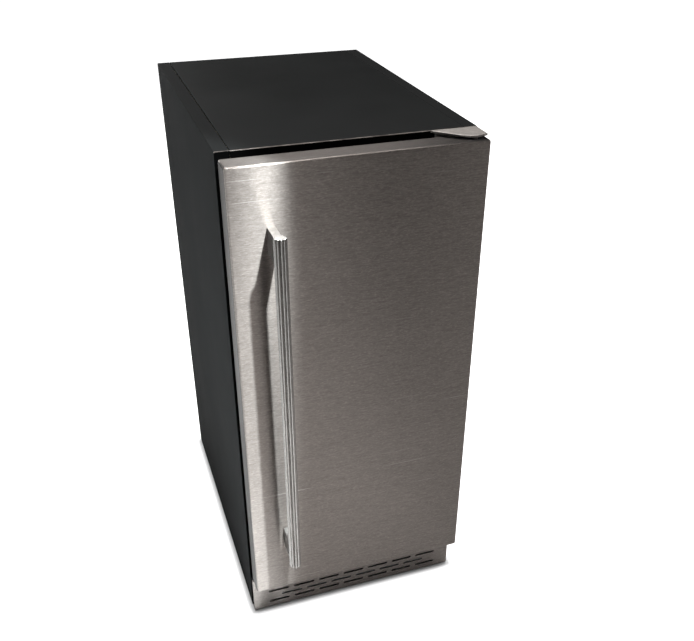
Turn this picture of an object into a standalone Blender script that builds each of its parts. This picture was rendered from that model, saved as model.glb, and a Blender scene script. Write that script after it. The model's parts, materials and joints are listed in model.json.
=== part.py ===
"""Fifteen-inch undercounter ice maker: black steel cabinet, brushed steel door, slotted kickplate.

Metres, +Z up. The door faces -Y. The origin is on the floor, under the middle of the whole machine.
"""

import math

import bmesh
import bpy
from mathutils import Vector

# ---------------------------------------------------------------- driving dimensions

CABINET_WIDTH = 0.378
CABINET_DEPTH = 0.530
CABINET_TOP = 0.842
SKIRT_BOTTOM = 0.004
SHEET = 0.001
FLANGE = 0.021
GAP = 0.0003

DOOR_GAP = 0.0152
DOOR_THICKNESS = 0.0338
DOOR_HALF = 0.187
DOOR_BOTTOM = 0.082
DOOR_TOP = 0.8365
DOOR_EDGE = 0.003
CAP_HEIGHT = 0.0094

HANDLE_X = -0.129
HANDLE_REACH = 0.047
HANDLE_RADIUS = 0.00975
HANDLE_BOTTOM = 0.175
HANDLE_TOP = 0.754
POST_HALF = 0.006
FLUTES = 10
FLUTE_DEPTH = 0.0016

HALF = CABINET_WIDTH / 2
FRONT_REACH = DOOR_GAP + DOOR_THICKNESS + HANDLE_REACH + HANDLE_RADIUS
FRONT = FRONT_REACH - (CABINET_DEPTH + FRONT_REACH) / 2
BACK = FRONT + CABINET_DEPTH
DOOR_BACK = FRONT - DOOR_GAP
DOOR_FACE = DOOR_BACK - DOOR_THICKNESS
INNER_HALF = HALF - FLANGE
SEAM_HALF = INNER_HALF - 0.0006

HINGE_X = 0.170
HINGE_Y = FRONT - 0.032
HINGE_PIN = 0.0039

KICK_TOP = 0.0745
KICK_FACE = FRONT - 0.0145
KICK_HALF = 0.1882
SLOT_LENGTH = 0.038
SLOT_HEIGHT = 0.004
SLOT_PITCH = 0.0472
SLOT_ROW_PITCH = 0.012
SLOT_LOW_ROW = 0.0166

FRAME_BOTTOM = 0.076
FRAME_SHEET = 0.0012
FOLD_BOTTOM = 0.829
MOUTH_HALF = 0.146
MOUTH_SILL = 0.400
MOUTH_TOP = 0.797

LINER_WALL = 0.0025
LINER_HALF = 0.149
LINER_FRONT = FRONT + 0.0016
LINER_BACK = 0.262
LINER_TOP = 0.800
BIN_FRONT = FRONT + 0.022
BIN_FLOOR = 0.2775
COMPARTMENT_TOP = 0.2612

FOOT_X = 0.150
FOOT_INSET = 0.045
FOOT_HOLE = 0.0060

WATER_INLET = (-0.135, 0.120)
DRAIN_OUTLET = (-0.110, 0.045)
POWER_INLET = (0.135, 0.060)

AXIS = {
    "x": Vector((1.0, 0.0, 0.0)),
    "y": Vector((0.0, 1.0, 0.0)),
    "z": Vector((0.0, 0.0, 1.0)),
}

# ---------------------------------------------------------------- scene and collections

for old in list(bpy.data.objects):
    bpy.data.objects.remove(old)

PARTS = bpy.data.collections.new("ice_maker")
CUTTERS = bpy.data.collections.new("cutters")
bpy.context.scene.collection.children.link(PARTS)
bpy.context.scene.collection.children.link(CUTTERS)


def finish(name, color, roughness, metallic=0.0):
    """A Principled material."""
    made = bpy.data.materials.new(name)
    made.use_nodes = True
    made.diffuse_color = (*color, 1.0)
    shader = made.node_tree.nodes["Principled BSDF"]
    shader.inputs["Base Color"].default_value = (*color, 1.0)
    shader.inputs["Roughness"].default_value = roughness
    shader.inputs["Metallic"].default_value = metallic
    return made


STEEL = finish("brushed_stainless", (0.46, 0.43, 0.41), 0.32, 1.0)
BLACK_SHEET = finish("black_painted_steel", (0.022, 0.024, 0.024), 0.45)
GALVANIZED = finish("galvanized_sheet", (0.52, 0.54, 0.55), 0.42, 1.0)
WHITE_PLASTIC = finish("white_plastic", (0.78, 0.79, 0.78), 0.4)
BLACK_PLASTIC = finish("black_plastic", (0.02, 0.02, 0.022), 0.5)
GREY_PLASTIC = finish("grey_plastic", (0.25, 0.26, 0.27), 0.45)
ACETAL = finish("acetal", (0.72, 0.71, 0.66), 0.4)
FOAM = finish("insulation_foam", (0.72, 0.62, 0.38), 0.9)
RUBBER = finish("black_rubber", (0.018, 0.018, 0.018), 0.7)
COPPER = finish("copper_tube", (0.72, 0.38, 0.24), 0.3, 1.0)
NICKEL = finish("nickel_plate", (0.62, 0.60, 0.56), 0.25, 1.0)
FINS = finish("aluminium_fins", (0.65, 0.66, 0.67), 0.4, 1.0)
BRASS = finish("brass", (0.65, 0.47, 0.2), 0.3, 1.0)
CLEAR = finish("clear_plastic", (0.75, 0.82, 0.85), 0.12)
SILICONE = finish("silicone_hose", (0.75, 0.75, 0.72), 0.5)
COMPRESSOR_PAINT = finish("compressor_black", (0.02, 0.02, 0.02), 0.35)


# ---------------------------------------------------------------- shapes


def add(name, data, surface=None):
    """A new object: a part when it has a surface, otherwise a cutter or a piece to be joined."""
    thing = bpy.data.objects.new(name, data)
    if surface:
        PARTS.objects.link(thing)
        data.materials.append(surface)
    else:
        CUTTERS.objects.link(thing)
        thing.hide_render = True
        thing.display_type = "WIRE"
    return thing


def add_mesh(name, shape, surface=None):
    mesh = bpy.data.meshes.new(name)
    shape.to_mesh(mesh)
    shape.free()
    return add(name, mesh, surface)


def bevel(thing, width, segments=2):
    changer = thing.modifiers.new("bevel", "BEVEL")
    changer.width = width
    changer.segments = segments
    changer.limit_method = "ANGLE"
    return thing


def block(name, low, high, surface=None, edge=0.0, segments=2):
    """A box between two corners, with rounded edges if edge is given."""
    low = Vector(low)
    high = Vector(high)
    shape = bmesh.new()
    bmesh.ops.create_cube(shape, size=1.0)
    bmesh.ops.scale(shape, vec=high - low, verts=shape.verts)
    thing = add_mesh(name, shape, surface)
    thing.location = (low + high) / 2
    if edge:
        bevel(thing, edge, segments)
    return thing


def tray(name, low, high, open_sides, surface, wall=SHEET, edge=0.0, segments=2):
    """A folded sheet box: the sides named in open_sides, such as "+y", are left out."""
    thing = block(name, low, high, surface, edge, segments)
    shape = bmesh.new()
    shape.from_mesh(thing.data)
    shape.normal_update()
    outward = [AXIS[side[1]] * (1.0 if side[0] == "+" else -1.0) for side in open_sides]
    gone = [face for face in shape.faces if any(face.normal.dot(way) > 0.9 for way in outward)]
    bmesh.ops.delete(shape, geom=gone, context="FACES")
    shape.to_mesh(thing.data)
    shape.free()
    shell = thing.modifiers.new("thickness", "SOLIDIFY")
    shell.thickness = wall
    shell.offset = -1.0
    shell.use_even_offset = True
    return thing


def turn_to(thing, way):
    """Turns an object whose length runs along its own +Z to run along way."""
    thing.rotation_euler = Vector(way).to_track_quat("Z", "Y").to_euler()
    return thing


def rod(name, start, end, radius, surface=None, sides=16):
    """A cylinder between two points."""
    start = Vector(start)
    end = Vector(end)
    shape = bmesh.new()
    bmesh.ops.create_cone(
        shape,
        cap_ends=True,
        segments=sides,
        radius1=radius,
        radius2=radius,
        depth=(end - start).length,
    )
    thing = add_mesh(name, shape, surface)
    thing.location = (start + end) / 2
    return turn_to(thing, end - start)


def turned(name, profile, place, surface=None, way=(0, 0, 1), steps=20, ring=False):
    """A lathe shape: (radius, height) points down the outer side; a ring's profile is closed."""
    shape = bmesh.new()
    corners = [shape.verts.new((radius, 0.0, height)) for radius, height in profile]
    for first, second in zip(corners, corners[1:]):
        shape.edges.new((first, second))
    if ring:
        shape.edges.new((corners[-1], corners[0]))
    thing = add_mesh(name, shape, surface)
    spin = thing.modifiers.new("spin", "SCREW")
    spin.steps = steps
    spin.render_steps = steps
    spin.use_merge_vertices = True
    spin.merge_threshold = 0.00001
    thing.location = place
    return turn_to(thing, way)


def rounded_path(corners, radius, steps=3):
    """The points of a tube's route: straight runs with an arc of the given radius at each corner."""
    corners = [Vector(corner) for corner in corners]
    route = [corners[0]]
    for before, corner, after in zip(corners, corners[1:], corners[2:]):
        inward = (before - corner).normalized()
        outward = (after - corner).normalized()
        half_angle = inward.angle(outward) / 2
        reach = radius / math.tan(half_angle)
        centre = corner + (inward + outward).normalized() * radius / math.sin(half_angle)
        first = (corner + inward * reach - centre).normalized()
        last = (corner + outward * reach - centre).normalized()
        for step in range(steps + 1):
            route.append(centre + first.slerp(last, step / steps) * radius)
    route.append(corners[-1])
    return route


def tube(name, route, radius, surface=None):
    """A round tube along a list of points."""
    curve = bpy.data.curves.new(name, "CURVE")
    curve.dimensions = "3D"
    line = curve.splines.new("POLY")
    line.points.add(len(route) - 1)
    for point, place in zip(line.points, route):
        point.co = (*place, 1.0)
    curve.bevel_depth = radius
    curve.bevel_resolution = 2
    curve.use_fill_caps = True
    return add(name, curve, surface)


def plate(name, outlines, low, high, surface=None):
    """A level plate from z = low to z = high, cut to one or more closed outlines of (x, y)."""
    curve = bpy.data.curves.new(name, "CURVE")
    curve.dimensions = "2D"
    curve.fill_mode = "BOTH"
    curve.extrude = (high - low) / 2
    for outline in outlines:
        line = curve.splines.new("POLY")
        line.points.add(len(outline) - 1)
        for point, (x, y) in zip(line.points, outline):
            point.co = (x, y, 0.0, 1.0)
        line.use_cyclic_u = True
    drawn = add(name + "_outline", curve)
    drawn.location.z = (low + high) / 2
    return as_mesh(name, drawn, surface)


def as_mesh(name, drawn, surface=None):
    """Replaces a curve object by the welded mesh of its shape, so that it can be cut or joined."""
    bpy.context.view_layer.update()
    seen = drawn.evaluated_get(bpy.context.evaluated_depsgraph_get())
    mesh = bpy.data.meshes.new_from_object(seen)
    place = drawn.matrix_world.copy()
    bpy.data.objects.remove(drawn)
    mesh.materials.clear()
    shape = bmesh.new()
    shape.from_mesh(mesh)
    bmesh.ops.remove_doubles(shape, verts=shape.verts, dist=0.00001)
    bmesh.ops.recalc_face_normals(shape, faces=shape.faces)
    shape.to_mesh(mesh)
    shape.free()
    thing = add(name, mesh, surface)
    thing.matrix_world = place
    return thing


def combine(thing, others, operation):
    for other in others:
        change = thing.modifiers.new(operation.lower(), "BOOLEAN")
        change.operation = operation
        change.solver = "EXACT"
        change.object = other
    return thing


def cut(thing, *cutters):
    return combine(thing, cutters, "DIFFERENCE")


def join(thing, *pieces):
    return combine(thing, pieces, "UNION")


def arc(centre, radius, start, end, steps):
    """Points along an arc in the plane; angles in degrees."""
    points = []
    for step in range(steps + 1):
        angle = math.radians(start + (end - start) * step / steps)
        points.append((centre[0] + radius * math.cos(angle), centre[1] + radius * math.sin(angle)))
    return points


def stadium(centre, length, height, steps=4):
    """The outline of a slot with round ends, lying along the first axis."""
    reach = (length - height) / 2
    right = arc((centre[0] + reach, centre[1]), height / 2, -90, 90, steps)
    left = arc((centre[0] - reach, centre[1]), height / 2, 90, 270, steps)
    return right + left


def joint(name, place):
    """An empty on a joint's axis, which the moving pieces hang on."""
    empty = bpy.data.objects.new(name, None)
    empty.empty_display_size = 0.02
    empty.location = place
    PARTS.objects.link(empty)
    return empty


def hang(empty, *things):
    """Makes pieces follow a joint's empty, staying where they are."""
    for thing in things:
        thing.parent = empty
        thing.matrix_parent_inverse.translation = -empty.location


def shade():
    """Smooth shading with crisp edges on every part."""
    for thing in PARTS.objects:
        if thing.type == "MESH":
            thing.data.shade_smooth()
            thing.data.set_sharp_from_angle(angle=math.radians(35))


# ---------------------------------------------------------------- cabinet


def cabinet_shell():
    """The black sheet metal that shows: two folded sides, top, back and the front frame."""
    for name, side, open_side in (("left_side_panel", -1, "+x"), ("right_side_panel", 1, "-x")):
        across = sorted((side * HALF, side * INNER_HALF))
        low = (across[0], FRONT, SKIRT_BOTTOM)
        high = (across[1], BACK, CABINET_TOP)
        tray(name, low, high, (open_side, "-z"), BLACK_SHEET, edge=0.0014)
    tray(
        "top_panel",
        (-SEAM_HALF, FRONT, FOLD_BOTTOM),
        (SEAM_HALF, BACK, CABINET_TOP),
        ("-z", "-x", "+x"),
        BLACK_SHEET,
        edge=0.0014,
    )
    block(
        "back_panel",
        (-SEAM_HALF, BACK - SHEET, COMPARTMENT_TOP + SHEET),
        (SEAM_HALF, BACK, FOLD_BOTTOM - GAP),
        BLACK_SHEET,
    )
    frame = block(
        "front_frame",
        (-SEAM_HALF, FRONT, FRAME_BOTTOM),
        (SEAM_HALF, FRONT + FRAME_SHEET, FOLD_BOTTOM - GAP),
        BLACK_SHEET,
    )
    mouth = block(
        "front_frame_mouth",
        (-MOUTH_HALF, FRONT - 0.01, MOUTH_SILL),
        (MOUTH_HALF, FRONT + 0.01, MOUTH_TOP),
    )
    bevel(mouth, 0.012, 3).modifiers["bevel"].limit_method = "WEIGHT"
    round_upright_edges(mouth, "y")
    cut(frame, mouth)


def round_upright_edges(thing, letter):
    """Gives full bevel weight to a box's edges that run along one axis."""
    mesh = thing.data
    weights = mesh.attributes.new("bevel_weight_edge", "FLOAT", "EDGE")
    for edge in mesh.edges:
        start, end = (mesh.vertices[index].co for index in edge.vertices)
        along = abs((end - start).normalized().dot(AXIS[letter]))
        weights.data[edge.index].value = 1.0 if along > 0.9 else 0.0


def feet_places():
    for end, y in (("front", FRONT + FOOT_INSET), ("rear", BACK - FOOT_INSET)):
        for side, x in (("left", -FOOT_X), ("right", FOOT_X)):
            yield f"levelling_foot_{end}_{side}", x, y


def base():
    """The base pan and its four screwed feet."""
    pan = tray(
        "base_pan",
        (-HALF + SHEET + 0.0015, FRONT + SHEET + GAP, 0.008),
        (HALF - SHEET - 0.0015, BACK - SHEET - GAP, 0.018),
        ("+z",),
        GALVANIZED,
        wall=0.0012,
    )
    profile = [
        (0.0, 0.040),
        (0.0042, 0.040),
        (0.005, 0.039),
        (0.005, 0.0068),
        (0.012, 0.0062),
        (0.019, 0.0036),
        (0.019, 0.0),
        (0.0, 0.0),
    ]
    for name, x, y in feet_places():
        axis = joint(name + "_axis", (x, y, 0.0))
        hang(axis, turned(name, profile, (x, y, 0.0), BLACK_PLASTIC, steps=12))
        cut(pan, rod(name + "_hole", (x, y, 0.0), (x, y, 0.03), FOOT_HOLE, sides=10))


def kickplate():
    """The black skirt under the door and the slotted steel plate clipped over it."""
    skirt = tray(
        "base_skirt",
        (-KICK_HALF + 0.0015, KICK_FACE + 0.0015, SKIRT_BOTTOM),
        (KICK_HALF - 0.0015, FRONT - GAP, KICK_TOP - 0.0015),
        ("+y", "-z"),
        BLACK_SHEET,
        wall=0.0012,
    )
    cut(skirt, block("skirt_window", (-0.168, KICK_FACE - 0.01, 0.011), (0.168, FRONT - 0.005, 0.048)))
    grille = tray(
        "kickplate",
        (-KICK_HALF, KICK_FACE, SKIRT_BOTTOM),
        (KICK_HALF, KICK_FACE + 0.004, KICK_TOP),
        ("+y", "-z"),
        STEEL,
        wall=0.0012,
        edge=0.001,
    )
    rows = []
    for row in range(3):
        count = 6 if row == 1 else 7
        for slot in range(count):
            x = (slot - (count - 1) / 2) * SLOT_PITCH
            rows.append(stadium((x, SLOT_LOW_ROW + row * SLOT_ROW_PITCH), SLOT_LENGTH, SLOT_HEIGHT))
    slots = plate("kickplate_slots", rows, -0.01, 0.01)
    slots.rotation_euler.x = math.radians(90)
    slots.location = (0.0, KICK_FACE, 0.0)
    cut(grille, slots)


def rear_cover():
    """The vented cover behind the compressor, with holes for the water, drain and power."""
    cover = block(
        "rear_cover",
        (-SEAM_HALF, BACK - SHEET, 0.019),
        (SEAM_HALF, BACK, COMPARTMENT_TOP - GAP),
        BLACK_SHEET,
    )
    vents = []
    for column in (-0.030, 0.060):
        for row in range(7):
            vents.append(stadium((column, 0.090 + row * 0.020), 0.070, 0.006, steps=2))
    openings = plate("rear_vents", vents, -0.01, 0.01)
    openings.rotation_euler.x = math.radians(90)
    openings.location = (0.0, BACK, 0.0)
    cut(cover, openings)
    for name, (x, z), radius in (
        ("water_hole", WATER_INLET, 0.0150),
        ("drain_hole", DRAIN_OUTLET, 0.0090),
        ("power_hole", POWER_INLET, 0.0110),
    ):
        cut(cover, rod(name, (x, BACK - 0.01, z), (x, BACK + 0.01, z), radius))


# ---------------------------------------------------------------- insulated cavity

DUCT_HALF = 0.034
DUCT_FRONT = 0.286
DUCT_BACK = 0.312
DUCT_TOP = 0.760
LINE_HOLE_Z = 0.7475
LINE_HOLE_HEIGHT = 0.016
DRAIN = (-0.110, 0.200)


def liner_shape(name, grow, surface=None):
    """The outside of the liner: a mouth-high upper box over a deeper-set bin."""
    upper = block(
        name,
        (-LINER_HALF - grow, LINER_FRONT, MOUTH_SILL - 0.003 - grow),
        (LINER_HALF + grow, LINER_BACK + grow, LINER_TOP + grow),
        surface,
    )
    lower = block(
        name + "_bin",
        (-LINER_HALF - grow, BIN_FRONT - grow, BIN_FLOOR - grow),
        (LINER_HALF + grow, LINER_BACK + grow, MOUTH_SILL + 0.010),
    )
    return join(upper, lower)


def liner_shell():
    """The white liner with its deep ice bin, open at the mouth."""
    liner = liner_shape("inner_liner", 0.0, WHITE_PLASTIC)
    inside = LINER_HALF - LINER_WALL
    back = LINER_BACK - LINER_WALL
    upper = block(
        "liner_upper_space",
        (-inside, LINER_FRONT - 0.02, MOUTH_SILL),
        (inside, back, LINER_TOP - LINER_WALL),
    )
    lower = block(
        "liner_bin_space",
        (-inside, BIN_FRONT + LINER_WALL, BIN_FLOOR + LINER_WALL),
        (inside, back, MOUTH_SILL + 0.05),
    )
    line_hole = block(
        "liner_line_hole",
        (-DUCT_HALF + 0.002, back - 0.01, LINE_HOLE_Z - LINE_HOLE_HEIGHT / 2),
        (DUCT_HALF - 0.002, LINER_BACK + 0.01, LINE_HOLE_Z + LINE_HOLE_HEIGHT / 2),
    )
    drain_hole = rod("liner_drain_hole", (*DRAIN, BIN_FLOOR - 0.01), (*DRAIN, BIN_FLOOR + 0.01), 0.0090)
    cut(liner, upper, lower, line_hole, drain_hole)


def cabinet_foam():
    """The foam that fills the space between the liner and the cabinet, with a duct down its back."""
    foam = block(
        "cabinet_foam",
        (-HALF + SHEET + GAP, LINER_FRONT, COMPARTMENT_TOP + 0.0013),
        (HALF - SHEET - GAP, BACK - SHEET - GAP, CABINET_TOP - SHEET - GAP),
        FOAM,
    )
    duct = block(
        "foam_duct",
        (-DUCT_HALF, DUCT_FRONT, COMPARTMENT_TOP - 0.01),
        (DUCT_HALF, DUCT_BACK, DUCT_TOP),
    )
    passage = block(
        "foam_line_passage",
        (-DUCT_HALF, LINER_BACK - 0.02, LINE_HOLE_Z - LINE_HOLE_HEIGHT / 2),
        (DUCT_HALF, DUCT_FRONT + 0.01, LINE_HOLE_Z + LINE_HOLE_HEIGHT / 2),
    )
    drain_bore = rod(
        "foam_drain_bore",
        (*DRAIN, COMPARTMENT_TOP - 0.01),
        (*DRAIN, BIN_FLOOR + 0.01),
        0.0092,
    )
    hollow = liner_shape("foam_hollow", GAP)
    mouth = block(
        "foam_mouth",
        (-LINER_HALF - GAP, FRONT - 0.01, MOUTH_SILL - 0.003 - GAP),
        (LINER_HALF + GAP, 0.0, LINER_TOP + GAP),
    )
    cut(foam, hollow, mouth, duct, passage, drain_bore)


def bin_drain():
    """The flanged fitting in the bin's floor."""
    drain_profile = [
        (0.016, BIN_FLOOR + 0.0052),
        (0.0165, BIN_FLOOR + LINER_WALL + GAP),
        (0.0085, BIN_FLOOR + LINER_WALL + GAP),
        (0.0085, 0.2500),
        (0.0060, 0.2500),
        (0.0060, BIN_FLOOR + 0.0052),
    ]
    turned("bin_drain_fitting", drain_profile, (*DRAIN, 0.0), GREY_PLASTIC, steps=16, ring=True)


# ---------------------------------------------------------------- ice-making unit

UNIT_HALF = 0.118
UNIT_WALL = 0.003
PLATE_FRONT = 0.118
PLATE_BACK = 0.134
PLATE_LOW = 0.588
PLATE_HIGH = 0.732
CELL_SIZE = 0.0245
CELL_PITCH = 0.028
COIL_Y = 0.1385
COIL_RADIUS = 0.004
CURTAIN_Y = 0.085
CURTAIN_Z = 0.7420
CURTAIN_PIN = 0.0030
PUMP_X = 0.045
PUMP_Y = 0.170
HOSE_X = 0.088
DISTRIBUTOR_Y = 0.112
DISTRIBUTOR_Z = 0.748
FLOAT_X = -0.080
FLOAT_Y = 0.165
SUMP_FLOOR = 0.480
SUMP_RIM = 0.540
SUMP_WALL = 0.0025
PUMP_OUTLET_Z = 0.4995


def unit_housing():
    """The white housing under the cavity's ceiling that carries the freezing parts."""
    housing = tray(
        "ice_unit_housing",
        (-UNIT_HALF, 0.045, 0.476),
        (UNIT_HALF, 0.205, 0.7970),
        ("-y", "+y", "-z"),
        WHITE_PLASTIC,
        wall=UNIT_WALL,
    )
    pin_hole = rod(
        "curtain_pin_hole",
        (-0.13, CURTAIN_Y, CURTAIN_Z),
        (0.13, CURTAIN_Y, CURTAIN_Z),
        CURTAIN_PIN + 0.0006,
        sides=12,
    )
    cut(housing, pin_hole)


def evaporator_plate():
    """The nickel-plated plate with a square cell for each ice cube."""
    cells = block(
        "evaporator_plate",
        (-0.100, PLATE_FRONT, PLATE_LOW),
        (0.100, PLATE_BACK, PLATE_HIGH),
        NICKEL,
    )
    shape = bmesh.new()
    for column in range(7):
        for row in range(5):
            made = bmesh.ops.create_cube(shape, size=1.0)["verts"]
            bmesh.ops.scale(shape, vec=(CELL_SIZE, 0.024, CELL_SIZE), verts=made)
            place = ((column - 3) * CELL_PITCH, 0.0, (row - 2) * CELL_PITCH)
            bmesh.ops.translate(shape, vec=place, verts=made)
    pockets = add_mesh("evaporator_pockets", shape)
    pockets.location = (0.0, PLATE_FRONT, (PLATE_LOW + PLATE_HIGH) / 2)
    cut(cells, pockets)


def evaporator_coil():
    """The copper coil that runs to and fro behind the cells."""
    runs = 5
    pitch = CELL_PITCH
    low = (PLATE_LOW + PLATE_HIGH) / 2 - pitch * (runs - 1) / 2
    route = [Vector((0.104, 0.180, low)), Vector((0.104, 0.150, low))]
    start = [(0.104, 0.150, low), (0.104, COIL_Y, low), (0.080, COIL_Y, low)]
    route += rounded_path(start, 0.010)[1:-1]
    for run in range(runs - 1):
        side = 1 if run % 2 else -1
        z = low + run * pitch + pitch / 2
        for x, up in arc((0.080, 0.0), pitch / 2, -90, 90, 6):
            route.append(Vector((side * x, COIL_Y, z + up)))
    high = low + pitch * (runs - 1)
    end = [(-0.080, COIL_Y, high), (-0.104, COIL_Y, high), (-0.104, 0.180, high)]
    route += rounded_path(end, 0.010)[1:]
    tube("evaporator_coil", route, COIL_RADIUS, COPPER)


def sump_and_pump():
    """The water sump and the pump that stands in it, with its turning impeller."""
    low = Vector((-0.1145, 0.050, SUMP_FLOOR))
    high = Vector((0.1145, 0.200, SUMP_RIM))
    wall = SUMP_WALL
    sump = block("water_sump", low, high, WHITE_PLASTIC)
    space_high = (high.x - wall, high.y - wall, SUMP_RIM + 0.02)
    cut(sump, block("sump_space", (low.x + wall, low.y + wall, SUMP_FLOOR + wall), space_high))

    pump_profile = [
        (0.0, 0.606),
        (0.018, 0.606),
        (0.022, 0.602),
        (0.022, 0.566),
        (0.008, 0.562),
        (0.008, 0.504),
        (0.020, 0.503),
        (0.020, 0.4835),
        (0.015, 0.4835),
        (0.015, 0.4960),
        (0.0, 0.4960),
    ]
    pump = turned("circulation_pump", pump_profile, (PUMP_X, PUMP_Y, 0.0), BLACK_PLASTIC)
    spout = rod(
        "pump_spout",
        (PUMP_X + 0.012, PUMP_Y, PUMP_OUTLET_Z),
        (PUMP_X + 0.028, PUMP_Y, PUMP_OUTLET_Z),
        0.0030,
        sides=12,
    )
    join(pump, spout)
    disc_low = (PUMP_X, PUMP_Y, 0.4925)
    disc_high = (PUMP_X, PUMP_Y, 0.4945)
    impeller = rod("pump_impeller", disc_low, disc_high, 0.0125, ACETAL)
    for number in range(2):
        vane = block("impeller_vane", (-0.012, -0.0012, -0.0075), (0.012, 0.0012, 0.0005))
        vane.location = (PUMP_X, PUMP_Y, 0.4892)
        vane.rotation_euler.z = math.radians(90 * number + 20)
        join(impeller, vane)
    hang(joint("pump_axis", (PUMP_X, PUMP_Y, 0.0)), impeller)


def water_pipes():
    """The hose that rises from the pump and the distributor that wets the cells from above."""
    hose = rounded_path(
        [
            (PUMP_X + 0.0285, PUMP_Y, PUMP_OUTLET_Z),
            (HOSE_X, PUMP_Y, PUMP_OUTLET_Z),
            (HOSE_X, PUMP_Y, DISTRIBUTOR_Z),
            (HOSE_X, DISTRIBUTOR_Y + 0.0205, DISTRIBUTOR_Z),
        ],
        0.011,
    )
    tube("pump_hose", hose, 0.0045, SILICONE)

    pipe = rod(
        "water_distributor",
        (-0.100, DISTRIBUTOR_Y, DISTRIBUTOR_Z),
        (0.100, DISTRIBUTOR_Y, DISTRIBUTOR_Z),
        0.0075,
        WHITE_PLASTIC,
    )
    inlet = rod(
        "distributor_inlet",
        (HOSE_X, DISTRIBUTOR_Y, DISTRIBUTOR_Z),
        (HOSE_X, DISTRIBUTOR_Y + 0.020, DISTRIBUTOR_Z),
        0.0042,
        sides=12,
    )
    join(pipe, inlet)


def ice_chute():
    """The slatted slope that the ice slides down and the water falls through."""
    chute = block("ice_chute", (-0.1105, -0.050, -0.0015), (0.1105, 0.050, 0.0015), WHITE_PLASTIC)
    slots = [stadium((0.0, (index - 6) * 0.0165), 0.078, 0.009, steps=1) for index in range(13)]
    slatted = plate("chute_slots", slots, -0.01, 0.01)
    slatted.rotation_euler.z = math.radians(90)
    cut(chute, slatted)
    frame = joint("chute_slope", (0.0, 0.092, 0.5630))
    frame.rotation_euler.x = math.radians(19)
    chute.parent = frame
    slatted.parent = frame


def float_switch():
    """The float on its stem, which is moulded with the sump."""
    stem_profile = [
        (0.0, 0.5485),
        (0.0070, 0.5485),
        (0.0070, 0.5440),
        (0.0028, 0.5440),
        (0.0028, 0.4875),
        (0.0060, 0.4875),
        (0.0060, 0.4815),
        (0.0, 0.4815),
    ]
    stem = turned("float_switch_stem", stem_profile, (FLOAT_X, FLOAT_Y, 0.0), steps=12)
    arm = block("float_arm", (FLOAT_X - 0.005, FLOAT_Y, 0.5450), (FLOAT_X + 0.005, 0.1990, 0.5480))
    post = block("float_post", (FLOAT_X - 0.005, 0.1976, 0.5300), (FLOAT_X + 0.005, 0.1995, 0.5480))
    join(PARTS.objects["water_sump"], stem, arm, post)
    float_profile = [(0.0115, 0.5045), (0.0115, 0.4880), (0.0034, 0.4880), (0.0034, 0.5045)]
    place = (FLOAT_X, FLOAT_Y, 0.0)
    swimmer = turned("water_float", float_profile, place, ACETAL, steps=12, ring=True)
    hang(joint("float_axis", place), swimmer)


def curtain():
    """The clear flap that hangs in front of the cells and swings out as the ice drops."""
    flap = block(
        "ice_curtain",
        (-0.1120, CURTAIN_Y - 0.001, 0.596),
        (0.1120, CURTAIN_Y + 0.001, CURTAIN_Z + 0.001),
        CLEAR,
    )
    pins = rod(
        "curtain_pins",
        (-0.1172, CURTAIN_Y, CURTAIN_Z),
        (0.1172, CURTAIN_Y, CURTAIN_Z),
        CURTAIN_PIN,
        sides=12,
    )
    join(flap, pins)
    hang(joint("curtain_axis", (0.0, CURTAIN_Y, CURTAIN_Z)), flap)


def lines_through_duct():
    """Copper and water lines that rise in the foam's duct and enter the cavity at the top."""
    level = LINE_HOLE_Z
    middle = (DUCT_FRONT + DUCT_BACK) / 2
    coil_low = (PLATE_LOW + PLATE_HIGH) / 2 - 0.056
    coil_high = (PLATE_LOW + PLATE_HIGH) / 2 + 0.056
    suction = rounded_path(
        [
            (-0.104, 0.1803, coil_high),
            (-0.104, 0.225, coil_high),
            (-0.016, 0.225, coil_high),
            (-0.016, 0.225, level),
            (-0.016, middle, level),
            (-0.016, middle, 0.232),
            (-0.016, 0.262, 0.232),
            (0.000, 0.262, 0.232),
            (0.000, 0.262, 0.120),
            (0.000, 0.2185, 0.120),
        ],
        0.007,
    )
    tube("suction_line", suction, 0.004, COPPER)
    hot_gas = rounded_path(
        [
            (0.104, 0.1803, coil_low),
            (0.104, 0.238, coil_low),
            (0.104, 0.238, level),
            (0.000, 0.238, level),
            (0.000, middle, level),
            (0.000, middle, 0.238),
            (0.139, middle, 0.238),
            (0.139, middle, 0.160),
            (0.139, 0.1403, 0.160),
        ],
        0.007,
    )
    tube("hot_gas_line", hot_gas, 0.003, COPPER)
    fill = rounded_path(
        [
            (WATER_INLET[0], 0.2720, 0.1583),
            (WATER_INLET[0], 0.2720, 0.240),
            (-0.0255, middle, 0.240),
            (-0.0255, middle, level),
            (-0.0255, 0.195, level),
            (-0.040, 0.190, level),
            (-0.040, 0.190, 0.556),
        ],
        0.006,
    )
    tube("water_fill_tube", fill, 0.0032, SILICONE)


def scoop_and_holder():
    """The ice scoop and the pocket on the cavity's wall that it stands in."""
    low = Vector((0.0950, -0.165, 0.420))
    high = Vector((LINER_HALF - LINER_WALL - GAP, -0.085, 0.490))
    holder = block("scoop_holder", low, high, WHITE_PLASTIC)
    wall = Vector((0.0022, 0.0022, 0.0022))
    pocket_high = (high.x - wall.x, high.y - wall.y, high.z + 0.02)
    cut(holder, block("scoop_pocket", low + wall, pocket_high))

    bowl = tray(
        "ice_scoop",
        (0.0995, -0.160, 0.4230),
        (0.1415, -0.090, 0.5200),
        ("-x", "-z"),
        CLEAR,
        wall=0.002,
        edge=0.004,
    )
    grip = block("scoop_grip", (0.1290, -0.134, 0.5190), (0.1410, -0.116, 0.6100), edge=0.004)
    join(bowl, grip)
    hang(joint("scoop_lift", (0.120, -0.125, 0.423)), bowl)


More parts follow.
